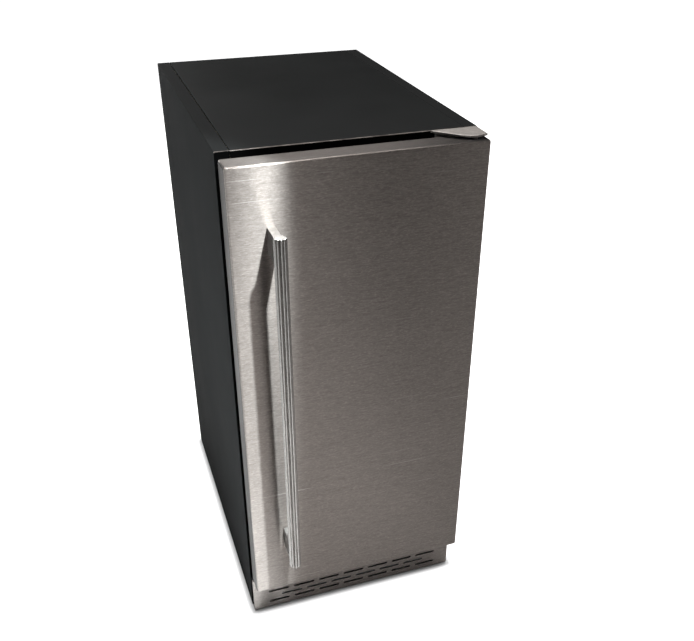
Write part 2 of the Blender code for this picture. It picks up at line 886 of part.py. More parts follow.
def bin_level_probe():
    """The thermostat's probe along the cavity's wall, which the heaped ice chills."""
    probe = rounded_path(
        [
            (-0.137, -0.040, 0.455),
            (-0.137, 0.245, 0.455),
            (-0.137, 0.245, 0.700),
            (-0.060, 0.245, 0.700),
        ],
        0.008,
    )
    tube("bin_level_probe", probe, 0.0030, COPPER)


def control_panel():
    """The panel at the mouth's top with a display recess and two push buttons."""
    panel_front = FRONT + 0.0045
    panel = tray(
        "control_panel",
        (-0.130, panel_front, 0.762),
        (0.130, panel_front + 0.022, 0.7970),
        ("+y",),
        BLACK_PLASTIC,
        wall=0.002,
    )
    button_z = 0.7795
    profile = [
        (0.0, 0.0025),
        (0.0062, 0.0025),
        (0.0070, 0.0018),
        (0.0070, -0.0023),
        (0.0090, -0.0023),
        (0.0090, -0.0040),
        (0.0, -0.0040),
    ]
    for name, x in (("power_button", -0.095), ("clean_button", 0.095)):
        place = (x, panel_front, button_z)
        button = turned(name, profile, place, GREY_PLASTIC, way=(0, -1, 0), steps=16)
        hang(joint(name + "_axis", place), button)
        hole_start = (x, panel_front - 0.005, button_z)
        hole_end = (x, panel_front + 0.005, button_z)
        cut(panel, rod(name + "_hole", hole_start, hole_end, 0.0076))
    window_low = (-0.030, panel_front - 0.005, 0.769)
    cut(panel, block("display_recess", window_low, (0.030, panel_front + 0.0008, 0.790)))


# ---------------------------------------------------------------- machine compartment

FAN_Z = 0.120
FAN_RADIUS = 0.070
CONDENSER_FRONT = FRONT + 0.022
CONDENSER_BACK = CONDENSER_FRONT + 0.045
CONDENSER_HALF = 0.118
CONDENSER_LOW = 0.030
CONDENSER_HIGH = 0.212
CONDENSER_PITCH = 0.036
SHROUD_BACK = CONDENSER_BACK + 0.032
DRIER_X = 0.1560
DRIER_Y = -0.020
COMPRESSOR = (0.035, 0.150)


def condenser():
    """The finned block behind the kickplate and the tube that runs through it."""
    middle = (CONDENSER_FRONT + CONDENSER_BACK) / 2
    core = block(
        "condenser",
        (-CONDENSER_HALF, CONDENSER_FRONT, CONDENSER_LOW),
        (CONDENSER_HALF, CONDENSER_BACK, CONDENSER_HIGH),
        FINS,
    )
    runs = 5
    pitch = CONDENSER_PITCH
    low = (CONDENSER_LOW + CONDENSER_HIGH) / 2 - pitch * (runs - 1) / 2
    route = [Vector((CONDENSER_HALF + 0.010, middle, low))]
    for run in range(runs - 1):
        side = 1 if run % 2 else -1
        for x, up in arc((CONDENSER_HALF + 0.002, 0.0), pitch / 2, -90, 90, 6):
            route.append(Vector((side * x, middle, low + run * pitch + pitch / 2 + up)))
    route.append(Vector((-CONDENSER_HALF - 0.014, middle, low + pitch * (runs - 1))))
    join(core, as_mesh("condenser_tube", tube("condenser_route", route, 0.0038)))


def fan_shroud():
    """The box behind the condenser, with a round hole for the fan."""
    shroud = tray(
        "fan_shroud",
        (-CONDENSER_HALF, CONDENSER_BACK + GAP, CONDENSER_LOW),
        (CONDENSER_HALF, SHROUD_BACK, CONDENSER_HIGH),
        ("-y",),
        BLACK_PLASTIC,
        wall=0.0015,
    )
    start = (0.0, SHROUD_BACK - 0.01, FAN_Z)
    end = (0.0, SHROUD_BACK + 0.01, FAN_Z)
    cut(shroud, rod("shroud_hole", start, end, FAN_RADIUS + 0.005, sides=32))


def fan():
    """The five-bladed fan that draws air through the condenser."""
    back = SHROUD_BACK
    hub = rod("fan_blade", (0, back - 0.012, FAN_Z), (0, back + 0.010, FAN_Z), 0.017, GREY_PLASTIC)
    count = 5
    for number in range(count):
        wing = block("fan_wing", (-0.021, -0.0008, 0.014), (0.021, 0.0008, FAN_RADIUS))
        centre = wing.location.copy()
        holder = joint("fan_wing_angle", (0.0, back - 0.001, FAN_Z))
        holder.rotation_euler.y = math.radians(360 * number / count)
        wing.parent = holder
        wing.location = centre
        wing.rotation_euler.z = math.radians(28)
        join(hub, wing)
    cut(hub, rod("fan_bore", (0, back - 0.004, FAN_Z), (0, back + 0.02, FAN_Z), 0.0034, sides=12))
    hang(joint("fan_axis", (0.0, back, FAN_Z)), hub)


def fan_motor():
    """The motor, whose shaft carries the fan, on its bracket."""
    motor_profile = [
        (0.0, 0.0120),
        (0.0030, 0.0120),
        (0.0030, -0.0040),
        (0.0200, -0.0050),
        (0.0240, -0.0090),
        (0.0240, -0.0340),
        (0.0200, -0.0380),
        (0.0, -0.0380),
    ]
    face = SHROUD_BACK + 0.0125
    place = (0.0, face, FAN_Z)
    motor = turned("fan_motor", motor_profile, place, BLACK_PLASTIC, way=(0, -1, 0), steps=16)
    stay = face + 0.0370
    upright = block("motor_bracket", (-0.030, stay, 0.0095), (0.030, stay + 0.0015, 0.150))
    foot = block("bracket_foot", (-0.030, stay, 0.0095), (0.030, stay + 0.030, 0.0110))
    join(motor, upright, foot)


def compressor():
    """The sealed compressor with its welded feet, rubber grommets and terminal cover."""
    x, y = COMPRESSOR
    can = [
        (0.0, 0.198),
        (0.030, 0.196),
        (0.052, 0.186),
        (0.064, 0.168),
        (0.0675, 0.145),
        (0.0675, 0.112),
        (0.0710, 0.110),
        (0.0710, 0.102),
        (0.0675, 0.100),
        (0.0670, 0.060),
        (0.058, 0.042),
        (0.040, 0.0320),
        (0.0, 0.0315),
    ]
    shell = turned("compressor", can, (x, y, 0.0), COMPRESSOR_PAINT, steps=20)
    feet = block("compressor_feet", (x - 0.085, y - 0.060, 0.0300), (x + 0.085, y + 0.060, 0.0340))
    cover = block(
        "terminal_cover",
        (x + 0.0600, y - 0.022, 0.070),
        (x + 0.0950, y + 0.022, 0.135),
        edge=0.003,
    )
    join(shell, feet, cover)
    for dx in (-0.074, 0.074):
        for dy in (-0.048, 0.048):
            start = (x + dx, y + dy, 0.0095)
            join(shell, rod("grommet", start, (x + dx, y + dy, 0.0320), 0.0100, sides=12))


def discharge_line():
    """The line from the compressor to the condenser's top."""
    x, y = COMPRESSOR
    middle = (CONDENSER_FRONT + CONDENSER_BACK) / 2
    run_high = (CONDENSER_LOW + CONDENSER_HIGH) / 2 + 2 * CONDENSER_PITCH
    discharge = rounded_path(
        [
            (x - 0.030, y - 0.0685, 0.150),
            (x - 0.030, 0.040, 0.150),
            (x - 0.030, 0.040, 0.2305),
            (-0.148, 0.040, 0.2305),
            (-0.148, middle, 0.2305),
            (-0.148, middle, run_high),
            (-0.1323, middle, run_high),
        ],
        0.006,
    )
    tube("discharge_line", discharge, 0.003, COPPER)


def filter_drier():
    """The drier, with the liquid line that comes up to it from the condenser."""
    middle = (CONDENSER_FRONT + CONDENSER_BACK) / 2
    run_low = (CONDENSER_LOW + CONDENSER_HIGH) / 2 - 2 * CONDENSER_PITCH
    drier = [
        (0.0, 0.128),
        (0.0032, 0.128),
        (0.0040, 0.116),
        (0.0100, 0.106),
        (0.0100, 0.022),
        (0.0040, 0.012),
        (0.0034, 0.0),
        (0.0, 0.0),
    ]
    body = turned("filter_drier", drier, (DRIER_X, DRIER_Y, 0.070), COPPER, steps=14)
    liquid = rounded_path(
        [
            (0.1283, middle, run_low),
            (DRIER_X, middle, run_low),
            (DRIER_X, DRIER_Y, run_low),
            (DRIER_X, DRIER_Y, 0.0740),
        ],
        0.006,
    )
    join(body, as_mesh("liquid_line", tube("liquid_route", liquid, 0.003)))


def capillary_tube():
    """The thin tube from the drier, up the duct, to the evaporator's coil."""
    level = LINE_HOLE_Z + 0.006
    capillary = rounded_path(
        [
            (DRIER_X, DRIER_Y, 0.1983),
            (DRIER_X, DRIER_Y, 0.2450),
            (0.0130, DRIER_Y, 0.2450),
            (0.0130, 0.299, 0.2450),
            (0.0130, 0.299, level),
            (0.0130, 0.215, level),
            (0.0960, 0.215, level),
            (0.0960, 0.215, 0.600),
            (0.0960, 0.185, 0.600),
        ],
        0.006,
    )
    tube("capillary_tube", capillary, 0.0014, COPPER)


def hot_gas_valve():
    """The valve that sends hot gas to the coil to free the ice."""
    valve = block("hot_gas_valve", (0.1270, 0.1000, 0.148), (0.1510, 0.1400, 0.172), BRASS)
    join(valve, rod("valve_coil", (0.139, 0.120, 0.170), (0.139, 0.120, 0.2100), 0.0140))


def water_inlet_valve():
    """The threaded inlet valve with its solenoid."""
    x, z = WATER_INLET
    start = (x, BACK - 0.030, z)
    end = (x, BACK - 0.0005, z)
    thread = rod("water_inlet_valve", start, end, 0.0132, BRASS, sides=24)
    body = block(
        "valve_body",
        (x - 0.016, BACK - 0.060, z - 0.018),
        (x + 0.016, BACK - 0.018, z + 0.018),
    )
    solenoid = rod("valve_solenoid", (x, 0.272, z + 0.010), (x, 0.272, z + 0.0380), 0.0120)
    join(thread, body, solenoid)


def drain_hose():
    """The hose from the bin's drain to the back."""
    x, z = DRAIN_OUTLET
    route = rounded_path([(*DRAIN, 0.2497), (*DRAIN, z), (x, BACK - 0.0005, z)], 0.022, steps=6)
    tube("drain_hose", route, 0.0080, SILICONE)


def electrics():
    """The power inlet's gland and the control board's box."""
    x, z = POWER_INLET
    gland = [
        (0.0105, 0.0),
        (0.0105, -SHEET - GAP),
        (0.0150, -SHEET - GAP),
        (0.0150, -0.0100),
        (0.0040, -0.0100),
        (0.0040, 0.0),
    ]
    turned(
        "power_inlet_gland",
        gland,
        (x, BACK, z),
        BLACK_PLASTIC,
        way=(0, 1, 0),
        steps=16,
        ring=True,
    )
    block(
        "control_board_box",
        (0.1300, 0.020, 0.0250),
        (0.1820, 0.090, 0.1300),
        GREY_PLASTIC,
        edge=0.003,
    )


# ---------------------------------------------------------------- hinges and door


def bezier(points, steps):
    """Points along one cubic curve."""
    first, second, third, fourth = (Vector(point) for point in points)
    route = []
    for step in range(steps + 1):
        t = step / steps
        s = 1.0 - t
        place = first * s**3 + second * 3 * s * s * t + third * 3 * s * t * t + fourth * t**3
        route.append((place.x, place.y))
    return route


def hinge_outline(offset=0.0):
    """The hinge plate's swept front edge, from its thin tip to the cabinet's side."""
    tip = (0.116 - offset * 0.6, FRONT - 0.0005 - offset)
    belly = (0.142, FRONT - 0.024 - offset)
    low = (0.158, FRONT - 0.050 - offset)
    side = (DOOR_HALF, FRONT - 0.036 - offset)
    return bezier((tip, belly, low, side), 14)


def hinge_plates():
    """Steel plates above and below the door that carry its two pins."""
    outline = hinge_outline() + [(DOOR_HALF, FRONT - GAP), (0.118, FRONT - GAP)]
    levels = (
        ("top_hinge_plate", CABINET_TOP - 0.003, CABINET_TOP, -1),
        ("bottom_hinge_plate", 0.0770, 0.0798, 1),
    )
    for name, low, high, way in levels:
        sheet = plate(name, [outline], low, high, STEEL)
        face = low if way < 0 else high
        pin_end = face + way * 0.0125
        middle = (low + high) / 2
        pin_start = (HINGE_X, HINGE_Y, middle)
        pin = rod(name + "_pin", pin_start, (HINGE_X, HINGE_Y, pin_end), HINGE_PIN)
        ear_end = face + way * 0.0100
        ear = block(
            name + "_ear",
            (0.122, FRONT - 0.0033, min(middle, ear_end)),
            (DOOR_HALF - 0.001, FRONT - GAP, max(middle, ear_end)),
        )
        join(sheet, pin, ear)


def door_skin():
    """The folded stainless skin, relieved under the hinge plate."""
    skin = tray(
        "door_skin",
        (-DOOR_HALF, DOOR_FACE, DOOR_BOTTOM),
        (DOOR_HALF, DOOR_BACK, DOOR_TOP),
        ("+y",),
        STEEL,
        edge=DOOR_EDGE,
        segments=3,
    )
    edge = [(min(x, DOOR_HALF - 0.002), y) for x, y in hinge_outline(0.0045)]
    outline = edge + [(DOOR_HALF - 0.002, FRONT), (0.112, FRONT)]
    relief = plate("hinge_relief", [outline], 0.8340, 0.8400)
    pin_hole = rod("lower_pin_hole", (HINGE_X, HINGE_Y, 0.078), (HINGE_X, HINGE_Y, 0.086), 0.0064)
    return cut(skin, relief, pin_hole)


def door_caps():
    """Plastic caps at the door's ends, each with the bore that turns on a hinge pin."""
    made = []
    half = DOOR_HALF - SHEET - GAP
    top = DOOR_TOP - SHEET - GAP
    bottom = DOOR_BOTTOM + SHEET + GAP
    levels = (
        ("door_top_cap", top - CAP_HEIGHT, top),
        ("door_bottom_cap", bottom, bottom + CAP_HEIGHT),
    )
    for name, low, high in levels:
        cap_low = (-half, DOOR_FACE + SHEET + GAP, low)
        cap = block(name, cap_low, (half, DOOR_BACK, high), BLACK_PLASTIC, edge=0.0028)
        bore_start = (HINGE_X, HINGE_Y, low - 0.01)
        bore_end = (HINGE_X, HINGE_Y, high + 0.01)
        cut(cap, rod(name + "_bore", bore_start, bore_end, HINGE_PIN + GAP))
        made.append(cap)
    return made


def door_inside():
    """Foam core, white inner liner with its plug, and the magnetic gasket."""
    low = DOOR_BOTTOM + 0.0110
    high = DOOR_TOP - 0.0115
    half = DOOR_HALF - SHEET - GAP
    core = block(
        "door_foam",
        (-half, DOOR_FACE + SHEET + GAP, low),
        (half, DOOR_BACK - LINER_WALL - GAP, high),
        FOAM,
        edge=0.0028,
    )
    liner = block(
        "door_inner_liner",
        (-half, DOOR_BACK - LINER_WALL, low),
        (half, DOOR_BACK, high),
        WHITE_PLASTIC,
    )
    plug = block(
        "door_plug",
        (-0.134, DOOR_BACK - 0.001, 0.412),
        (0.134, FRONT - 0.0035, 0.786),
        edge=0.006,
    )
    join(liner, plug)
    seal = block(
        "door_gasket",
        (-0.1668, DOOR_BACK + GAP, 0.0940),
        (0.1668, FRONT - GAP, 0.8240),
        RUBBER,
        edge=0.002,
        segments=1,
    )
    middle_low = (-0.1500, DOOR_BACK - 0.01, 0.1100)
    middle_high = (0.1500, FRONT + 0.01, 0.8080)
    cut(seal, block("gasket_middle", middle_low, middle_high))
    return [core, liner, seal]


def fluted_outline():
    """The handle's section: round ridges with a groove between each two."""
    points = []
    steps = 6
    for number in range(FLUTES * steps):
        turn = number / (FLUTES * steps)
        ridge = abs(math.cos(math.pi * FLUTES * turn))
        radius = HANDLE_RADIUS - FLUTE_DEPTH * (1.0 - ridge)
        angle = 2 * math.pi * turn + math.pi / FLUTES
        points.append((radius * math.cos(angle), radius * math.sin(angle)))
    return points


def handle():
    """The fluted bar on two flat posts at its ends."""
    y = DOOR_FACE - HANDLE_REACH
    bar = plate("handle_bar", [fluted_outline()], HANDLE_BOTTOM, HANDLE_TOP, STEEL)
    bar.location.x = HANDLE_X
    bar.location.y = y
    made = [bar]
    levels = (("handle_post_top", 0.712, 0.750), ("handle_post_bottom", 0.179, 0.217))
    for name, low, high in levels:
        post_low = (HANDLE_X - POST_HALF, y + 0.005, low)
        post = block(name, post_low, (HANDLE_X + POST_HALF, DOOR_FACE - GAP, high), STEEL)
        seat_low = (HANDLE_X, y, low - 0.01)
        seat_high = (HANDLE_X, y, high + 0.01)
        cut(post, rod(name + "_seat", seat_low, seat_high, HANDLE_RADIUS + GAP, sides=24))
        made.append(post)
    return made


def door():
    axis = joint("door_hinge_axis", (HINGE_X, HINGE_Y, DOOR_BOTTOM))
    hang(axis, door_skin(), *door_caps(), *door_inside(), *handle())


# ---------------------------------------------------------------- assembly

cabinet_shell()
base()
kickplate()
rear_cover()
liner_shell()
cabinet_foam()
bin_drain()
unit_housing()
evaporator_plate()
evaporator_coil()
sump_and_pump()
water_pipes()
ice_chute()
float_switch()
curtain()
lines_through_duct()
scoop_and_holder()
bin_level_probe()
control_panel()
condenser()
fan_shroud()
fan()
fan_motor()
compressor()
discharge_line()
filter_drier()
capillary_tube()
hot_gas_valve()
water_inlet_valve()
drain_hose()
electrics()
hinge_plates()
door()
shade()
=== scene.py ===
"""Looks of the undercounter ice maker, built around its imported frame.
"""
import json
import math

import bmesh
import bpy
from mathutils import Euler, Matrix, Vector


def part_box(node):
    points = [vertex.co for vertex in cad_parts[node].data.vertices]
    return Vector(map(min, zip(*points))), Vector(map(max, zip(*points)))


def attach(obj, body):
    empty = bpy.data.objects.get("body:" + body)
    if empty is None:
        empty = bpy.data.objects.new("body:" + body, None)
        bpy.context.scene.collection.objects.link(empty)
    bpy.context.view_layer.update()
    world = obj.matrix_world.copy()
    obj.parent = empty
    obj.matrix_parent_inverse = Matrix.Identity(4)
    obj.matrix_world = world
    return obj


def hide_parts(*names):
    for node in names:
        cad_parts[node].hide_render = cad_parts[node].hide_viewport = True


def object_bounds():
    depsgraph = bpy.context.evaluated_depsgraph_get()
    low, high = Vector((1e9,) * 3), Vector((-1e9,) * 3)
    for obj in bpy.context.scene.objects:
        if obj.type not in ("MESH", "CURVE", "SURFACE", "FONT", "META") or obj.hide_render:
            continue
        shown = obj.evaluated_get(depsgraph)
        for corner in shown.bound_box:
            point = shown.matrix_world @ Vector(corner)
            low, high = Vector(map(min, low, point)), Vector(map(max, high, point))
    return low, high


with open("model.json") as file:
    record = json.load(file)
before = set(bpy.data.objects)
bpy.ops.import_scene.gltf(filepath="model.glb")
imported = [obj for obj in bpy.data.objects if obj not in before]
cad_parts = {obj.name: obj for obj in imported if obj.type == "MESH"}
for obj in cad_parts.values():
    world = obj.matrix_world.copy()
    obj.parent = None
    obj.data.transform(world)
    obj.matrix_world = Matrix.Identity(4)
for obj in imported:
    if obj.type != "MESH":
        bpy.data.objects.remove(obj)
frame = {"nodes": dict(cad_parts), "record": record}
cad_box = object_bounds()
NODES = frame["nodes"]
BODY_OF = {node: body for body, members in frame["record"]["behaviour"]["bodies"].items() for node in members}

# ---------------------------------------------------------------- node material helpers


class Finish:
    """A Principled material with short calls for its texture nodes, which lie in object space, in metres."""

    def __init__(self, name, color, roughness, metallic=0.0):
        self.material = bpy.data.materials.new(name)
        self.material.use_nodes = True
        self.tree = self.material.node_tree
        self.shader = self.tree.nodes["Principled BSDF"]
        self.place = self.tree.nodes.new("ShaderNodeTexCoord").outputs["Object"]
        self.set("Base Color", (*color, 1.0))
        self.set("Roughness", roughness)
        self.set("Metallic", metallic)
        self.height = None

    def set(self, socket, value):
        self.shader.inputs[socket].default_value = value

    def node(self, kind, **settings):
        made = self.tree.nodes.new(kind)
        for name, value in settings.items():
            setattr(made, name, value)
        return made

    def feed(self, socket, source):
        """Puts a number, a colour or another node's output into a socket."""
        if isinstance(source, bpy.types.NodeSocket):
            self.tree.links.new(source, socket)
        else:
            socket.default_value = source

    def stretched(self, scale):
        """The object's own coordinates, scaled along x, y and z."""
        mapping = self.node("ShaderNodeMapping")
        self.feed(mapping.inputs["Vector"], self.place)
        mapping.inputs["Scale"].default_value = scale
        return mapping.outputs["Vector"]

    def noise(self, scale, detail=2.0, roughness=0.5, seed=0.0):
        """Noise from 0 to 1; scale is in cells per metre along x, y and z."""
        made = self.node("ShaderNodeTexNoise", noise_dimensions="4D")
        self.feed(made.inputs["Vector"], self.stretched(scale))
        made.inputs["W"].default_value = seed
        made.inputs["Scale"].default_value = 1.0
        made.inputs["Detail"].default_value = detail
        made.inputs["Roughness"].default_value = roughness
        return made.outputs["Fac"]

    def spread(self, value, low, high, from_low=0.3, from_high=0.7):
        """Maps a value to the range low to high, held at both ends."""
        made = self.node("ShaderNodeMapRange")
        self.feed(made.inputs["Value"], value)
        made.inputs["From Min"].default_value = from_low
        made.inputs["From Max"].default_value = from_high
        made.inputs["To Min"].default_value = low
        made.inputs["To Max"].default_value = high
        return made.outputs["Result"]

    def math(self, operation, first, second):
        made = self.node("ShaderNodeMath", operation=operation)
        self.feed(made.inputs[0], first)
        self.feed(made.inputs[1], second)
        return made.outputs["Value"]

    def mix(self, amount, first, second):
        """A colour between first and second."""
        made = self.node("ShaderNodeMix", data_type="RGBA")
        self.feed(made.inputs["Factor"], amount)
        self.feed(made.inputs["A"], first if isinstance(first, bpy.types.NodeSocket) else (*first, 1.0))
        self.feed(made.inputs["B"], second if isinstance(second, bpy.types.NodeSocket) else (*second, 1.0))
        return made.outputs["Result"]

    def paint(self, socket, source):
        """Feeds one of the shader's sockets."""
        self.feed(self.shader.inputs[socket], source)

    def bump(self, height, depth, strength=1.0):
        """Adds relief: height 0 to 1 stands for depth metres."""
        made = self.node("ShaderNodeBump")
        made.inputs["Strength"].default_value = strength
        made.inputs["Distance"].default_value = depth
        self.feed(made.inputs["Height"], height)
        if self.height is not None:
            self.feed(made.inputs["Normal"], self.height)
        self.height = made.outputs["Normal"]
        self.paint("Normal", self.height)


# ---------------------------------------------------------------- materials

STEEL_DARK = (0.150, 0.131, 0.119)
STEEL_LIGHT = (0.235, 0.208, 0.190)
SCRATCH_COLOR = (0.62, 0.60, 0.57)

# Texture cells of brushed steel: length along the brushing, width across it.
HAIRLINE_CELL = (0.012, 0.0012)
BAND_CELL = (0.10, 0.0030)
GRAIN_CELL = (0.0046, 0.0018)
SCRATCH_CELL = (0.14, 0.0016)
HAIRLINE_SHARE = 0.85
GRAIN_BRIGHTNESS = 1.5
GRAIN_DEPTH_SHARE = 0.7


def brushed_steel(
    name, along="x", dark=STEEL_DARK, light=STEEL_LIGHT, roughness=0.34, anisotropy=1.0, depth=0.00009
):
    """Satin stainless, brushed along one axis: short streaks, sparkling grain and a few long scratches."""
    made = Finish(name, dark, roughness, 1.0)

    def lines(length, width):
        return tuple(1.0 / length if axis == along else 1.0 / width for axis in "xyz")

    hairline = made.noise(lines(*HAIRLINE_CELL), detail=4.0, roughness=0.75)
    band = made.noise(lines(*BAND_CELL), detail=2.0, roughness=0.6, seed=3.1)
    grain = made.noise(lines(*GRAIN_CELL), detail=2.0, roughness=0.7, seed=7.7)
    scratch = made.noise(lines(*SCRATCH_CELL), detail=1.0, roughness=0.5, seed=12.4)
    smear = made.noise((9.0, 9.0, 5.0), detail=3.0, roughness=0.55, seed=1.7)
    streaks = made.math(
        "ADD",
        made.math("MULTIPLY", hairline, HAIRLINE_SHARE),
        made.math("MULTIPLY", band, 1.0 - HAIRLINE_SHARE),
    )
    bright = tuple(part * GRAIN_BRIGHTNESS for part in light)
    tone = made.mix(made.spread(streaks, 0.0, 1.0, 0.36, 0.64), dark, light)
    tone = made.mix(made.spread(grain, 0.0, 0.45, 0.5, 0.72), tone, bright)
    made.paint("Base Color", made.mix(made.spread(scratch, 0.0, 0.30, 0.72, 0.78), tone, SCRATCH_COLOR))
    wander = made.math("MULTIPLY", made.spread(streaks, 0.94, 1.07), made.spread(smear, 0.96, 1.05))
    made.paint("Roughness", made.math("MULTIPLY", wander, roughness))
    made.set("Anisotropic", anisotropy)
    across = made.node("ShaderNodeTangent", direction_type="RADIAL", axis=along.upper())
    made.paint("Tangent", across.outputs["Tangent"])
    made.bump(hairline, depth)
    made.bump(grain, depth * GRAIN_DEPTH_SHARE)
    return made.material


def coated_sheet(name="black_coated_sheet", roughness=0.55):
    """Black powder-coated steel with a fine orange-peel texture and faint dust."""
    made = Finish(name, (0.0060, 0.0063, 0.0062), roughness)
    made.set("Specular IOR Level", 0.05)
    peel = made.noise((1500.0, 1500.0, 1500.0), detail=2.0, roughness=0.5)
    cloud = made.noise((4.0, 4.0, 3.0), detail=3.0, roughness=0.6, seed=2.2)
    tone = made.mix(made.spread(cloud, 0.0, 1.0), (0.0048, 0.0050, 0.0049), (0.0072, 0.0075, 0.0074))
    dust = made.noise((2300.0, 2300.0, 2300.0), detail=1.0, roughness=0.5, seed=5.0)
    made.paint("Base Color", made.mix(made.spread(dust, 0.0, 0.15, 0.68, 0.82), tone, (0.06, 0.06, 0.057)))
    made.paint("Roughness", made.spread(cloud, roughness - 0.05, roughness + 0.05))
    made.bump(peel, 0.00005, 0.35)
    return made.material


def galvanized(name="galvanized_sheet"):
    """Zinc-coated sheet with its spangle."""
    made = Finish(name, (0.42, 0.44, 0.45), 0.42, 1.0)
    cells = made.node("ShaderNodeTexVoronoi", feature="F1")
    made.feed(cells.inputs["Vector"], made.stretched((150.0, 150.0, 150.0)))
    cells.inputs["Scale"].default_value = 1.0
    grey = made.node("ShaderNodeSeparateColor")
    made.feed(grey.inputs["Color"], cells.outputs["Color"])
    flake = grey.outputs["Red"]
    made.paint("Base Color", made.mix(flake, (0.33, 0.35, 0.36), (0.52, 0.54, 0.55)))
    made.paint("Roughness", made.spread(flake, 0.34, 0.52, 0.0, 1.0))
    made.bump(made.noise((300.0, 300.0, 300.0)), 0.00005, 0.2)
    return made.material


def moulded(name, color, roughness, grain=0.00004, level=0.5, transmission=0.0):
    """Moulded plastic: a fine eroded texture and slight flow marks."""
    made = Finish(name, color, roughness)
    made.set("Specular IOR Level", level)
    flow = made.noise((5.0, 5.0, 3.0), detail=2.0, roughness=0.5, seed=4.0)
    darker = tuple(part * 0.88 for part in color)
    made.paint("Base Color", made.mix(made.spread(flow, 0.0, 1.0), darker, color))
    texture = made.noise((2200.0, 2200.0, 2200.0), detail=2.0, roughness=0.6)
    made.paint("Roughness", made.spread(texture, roughness * 0.9, min(1.0, roughness * 1.15)))
    made.bump(texture, grain, 0.4)
    if transmission:
        made.set("Transmission Weight", transmission)
        made.set("IOR", 1.49)
    return made.material


def rubber(name, color=(0.014, 0.014, 0.015), roughness=0.62):
    """Soft dull rubber with bloom in patches."""
    made = Finish(name, color, roughness)
    bloom = made.noise((30.0, 30.0, 12.0), detail=3.0, roughness=0.6)
    lighter = tuple(part * 1.6 + 0.004 for part in color)
    made.paint("Base Color", made.mix(made.spread(bloom, 0.0, 0.8, 0.45, 0.75), color, lighter))
    made.bump(made.noise((1800.0, 1800.0, 1800.0)), 0.00004, 0.4)
    return made.material


def foam(name="urethane_foam"):
    """Poured insulation: cream, open-celled and uneven."""
    made = Finish(name, (0.72, 0.62, 0.40), 0.9)
    cells = made.node("ShaderNodeTexVoronoi", feature="DISTANCE_TO_EDGE")
    made.feed(cells.inputs["Vector"], made.stretched((700.0, 700.0, 700.0)))
    cells.inputs["Scale"].default_value = 1.0
    wall = made.spread(cells.outputs["Distance"], 0.0, 1.0, 0.0, 0.25)
    made.paint("Base Color", made.mix(wall, (0.80, 0.71, 0.50), (0.60, 0.50, 0.31)))
    made.bump(wall, 0.0004, 0.6)
    made.bump(made.noise((40.0, 40.0, 40.0), detail=3.0), 0.002, 0.4)
    return made.material


def drawn_metal(name, light, dark, roughness):
    """Copper or brass tube stock: drawing lines and tarnish in patches."""
    made = Finish(name, light, roughness, 1.0)
    tarnish = made.noise((45.0, 45.0, 45.0), detail=4.0, roughness=0.6)
    made.paint("Base Color", made.mix(made.spread(tarnish, 0.0, 1.0, 0.42, 0.68), light, dark))
    made.paint("Roughness", made.spread(tarnish, roughness * 0.8, roughness * 1.5))
    made.bump(made.noise((1200.0, 1200.0, 200.0), detail=2.0), 0.00003, 0.3)
    return made.material


def finned(name="aluminium_fins"):
    """Condenser block: thin aluminium fins about 2 mm apart."""
    made = Finish(name, (0.55, 0.56, 0.57), 0.38, 1.0)
    wave = made.node("ShaderNodeTexWave", wave_type="BANDS", bands_direction="X", wave_profile="SIN")
    made.feed(wave.inputs["Vector"], made.place)
    wave.inputs["Scale"].default_value = 157.0
    fin_or_shaded_gap = made.spread(wave.outputs["Fac"], 0.0, 1.0, 0.1, 0.6)
    # Near-black between the fins: painted shade in the gaps.
    made.paint("Base Color", made.mix(fin_or_shaded_gap, (0.03, 0.03, 0.03), (0.58, 0.59, 0.60)))
    made.bump(fin_or_shaded_gap, 0.0008, 0.8)
    return made.material


FINISH = {
    "stainless": brushed_steel("brushed_stainless"),
    "black_sheet": coated_sheet(),
    "galvanized": galvanized(),
    "white_plastic": moulded("white_moulded_abs", (0.74, 0.75, 0.74), 0.38),
    "black_plastic": moulded("black_moulded_plastic", (0.016, 0.016, 0.018), 0.48, level=0.35),
    "grey_plastic": moulded("grey_moulded_plastic", (0.23, 0.24, 0.25), 0.42),
    "acetal": moulded("natural_acetal", (0.66, 0.65, 0.60), 0.38),
    "foam": foam(),
    "rubber": rubber("black_rubber"),
    "copper": drawn_metal("copper_tube", (0.80, 0.42, 0.27), (0.36, 0.17, 0.11), 0.26),
    "nickel": drawn_metal("nickel_plating", (0.62, 0.60, 0.55), (0.45, 0.43, 0.39), 0.22),
    "aluminium_fins": finned(),
    "brass": drawn_metal("brass_fitting", (0.72, 0.53, 0.22), (0.42, 0.28, 0.11), 0.27),
    "clear_plastic": moulded("clear_polycarbonate", (0.86, 0.89, 0.90), 0.12, 0.00001, transmission=0.85),
    "silicone": rubber("milky_silicone", (0.55, 0.56, 0.54), 0.5),
    "compressor_black": moulded("black_compressor_enamel", (0.014, 0.014, 0.015), 0.30, 0.00006),
}
FINISH["fluted"] = brushed_steel(
    "polished_fluted_bar",
    along="z",
    dark=(0.115, 0.106, 0.099),
    light=(0.185, 0.171, 0.161),
    roughness=0.18,
    anisotropy=0.0,
    depth=0.000004,
)
# Darker copies of the door's stainless for the skin's top and bottom flanges and its side returns: painted
# shade.
FINISH["flange"] = brushed_steel(
    "brushed_flange", dark=(0.044, 0.039, 0.036), light=(0.086, 0.077, 0.071), roughness=0.40, anisotropy=0.95
)
FINISH["return"] = brushed_steel(
    "door_return_painted_shade", dark=(0.034, 0.029, 0.026), light=(0.055, 0.047, 0.042), roughness=0.50, anisotropy=0.3
)
# A lighter copy of the door's stainless for the kickplate, which lies in the door's shade: painted light.
FINISH["kick_painted_light"] = brushed_steel(
    "brushed_kickplate_painted_light",
    dark=(0.170, 0.150, 0.138),
    light=(0.260, 0.231, 0.214),
    roughness=0.36,
    anisotropy=0.9,
)
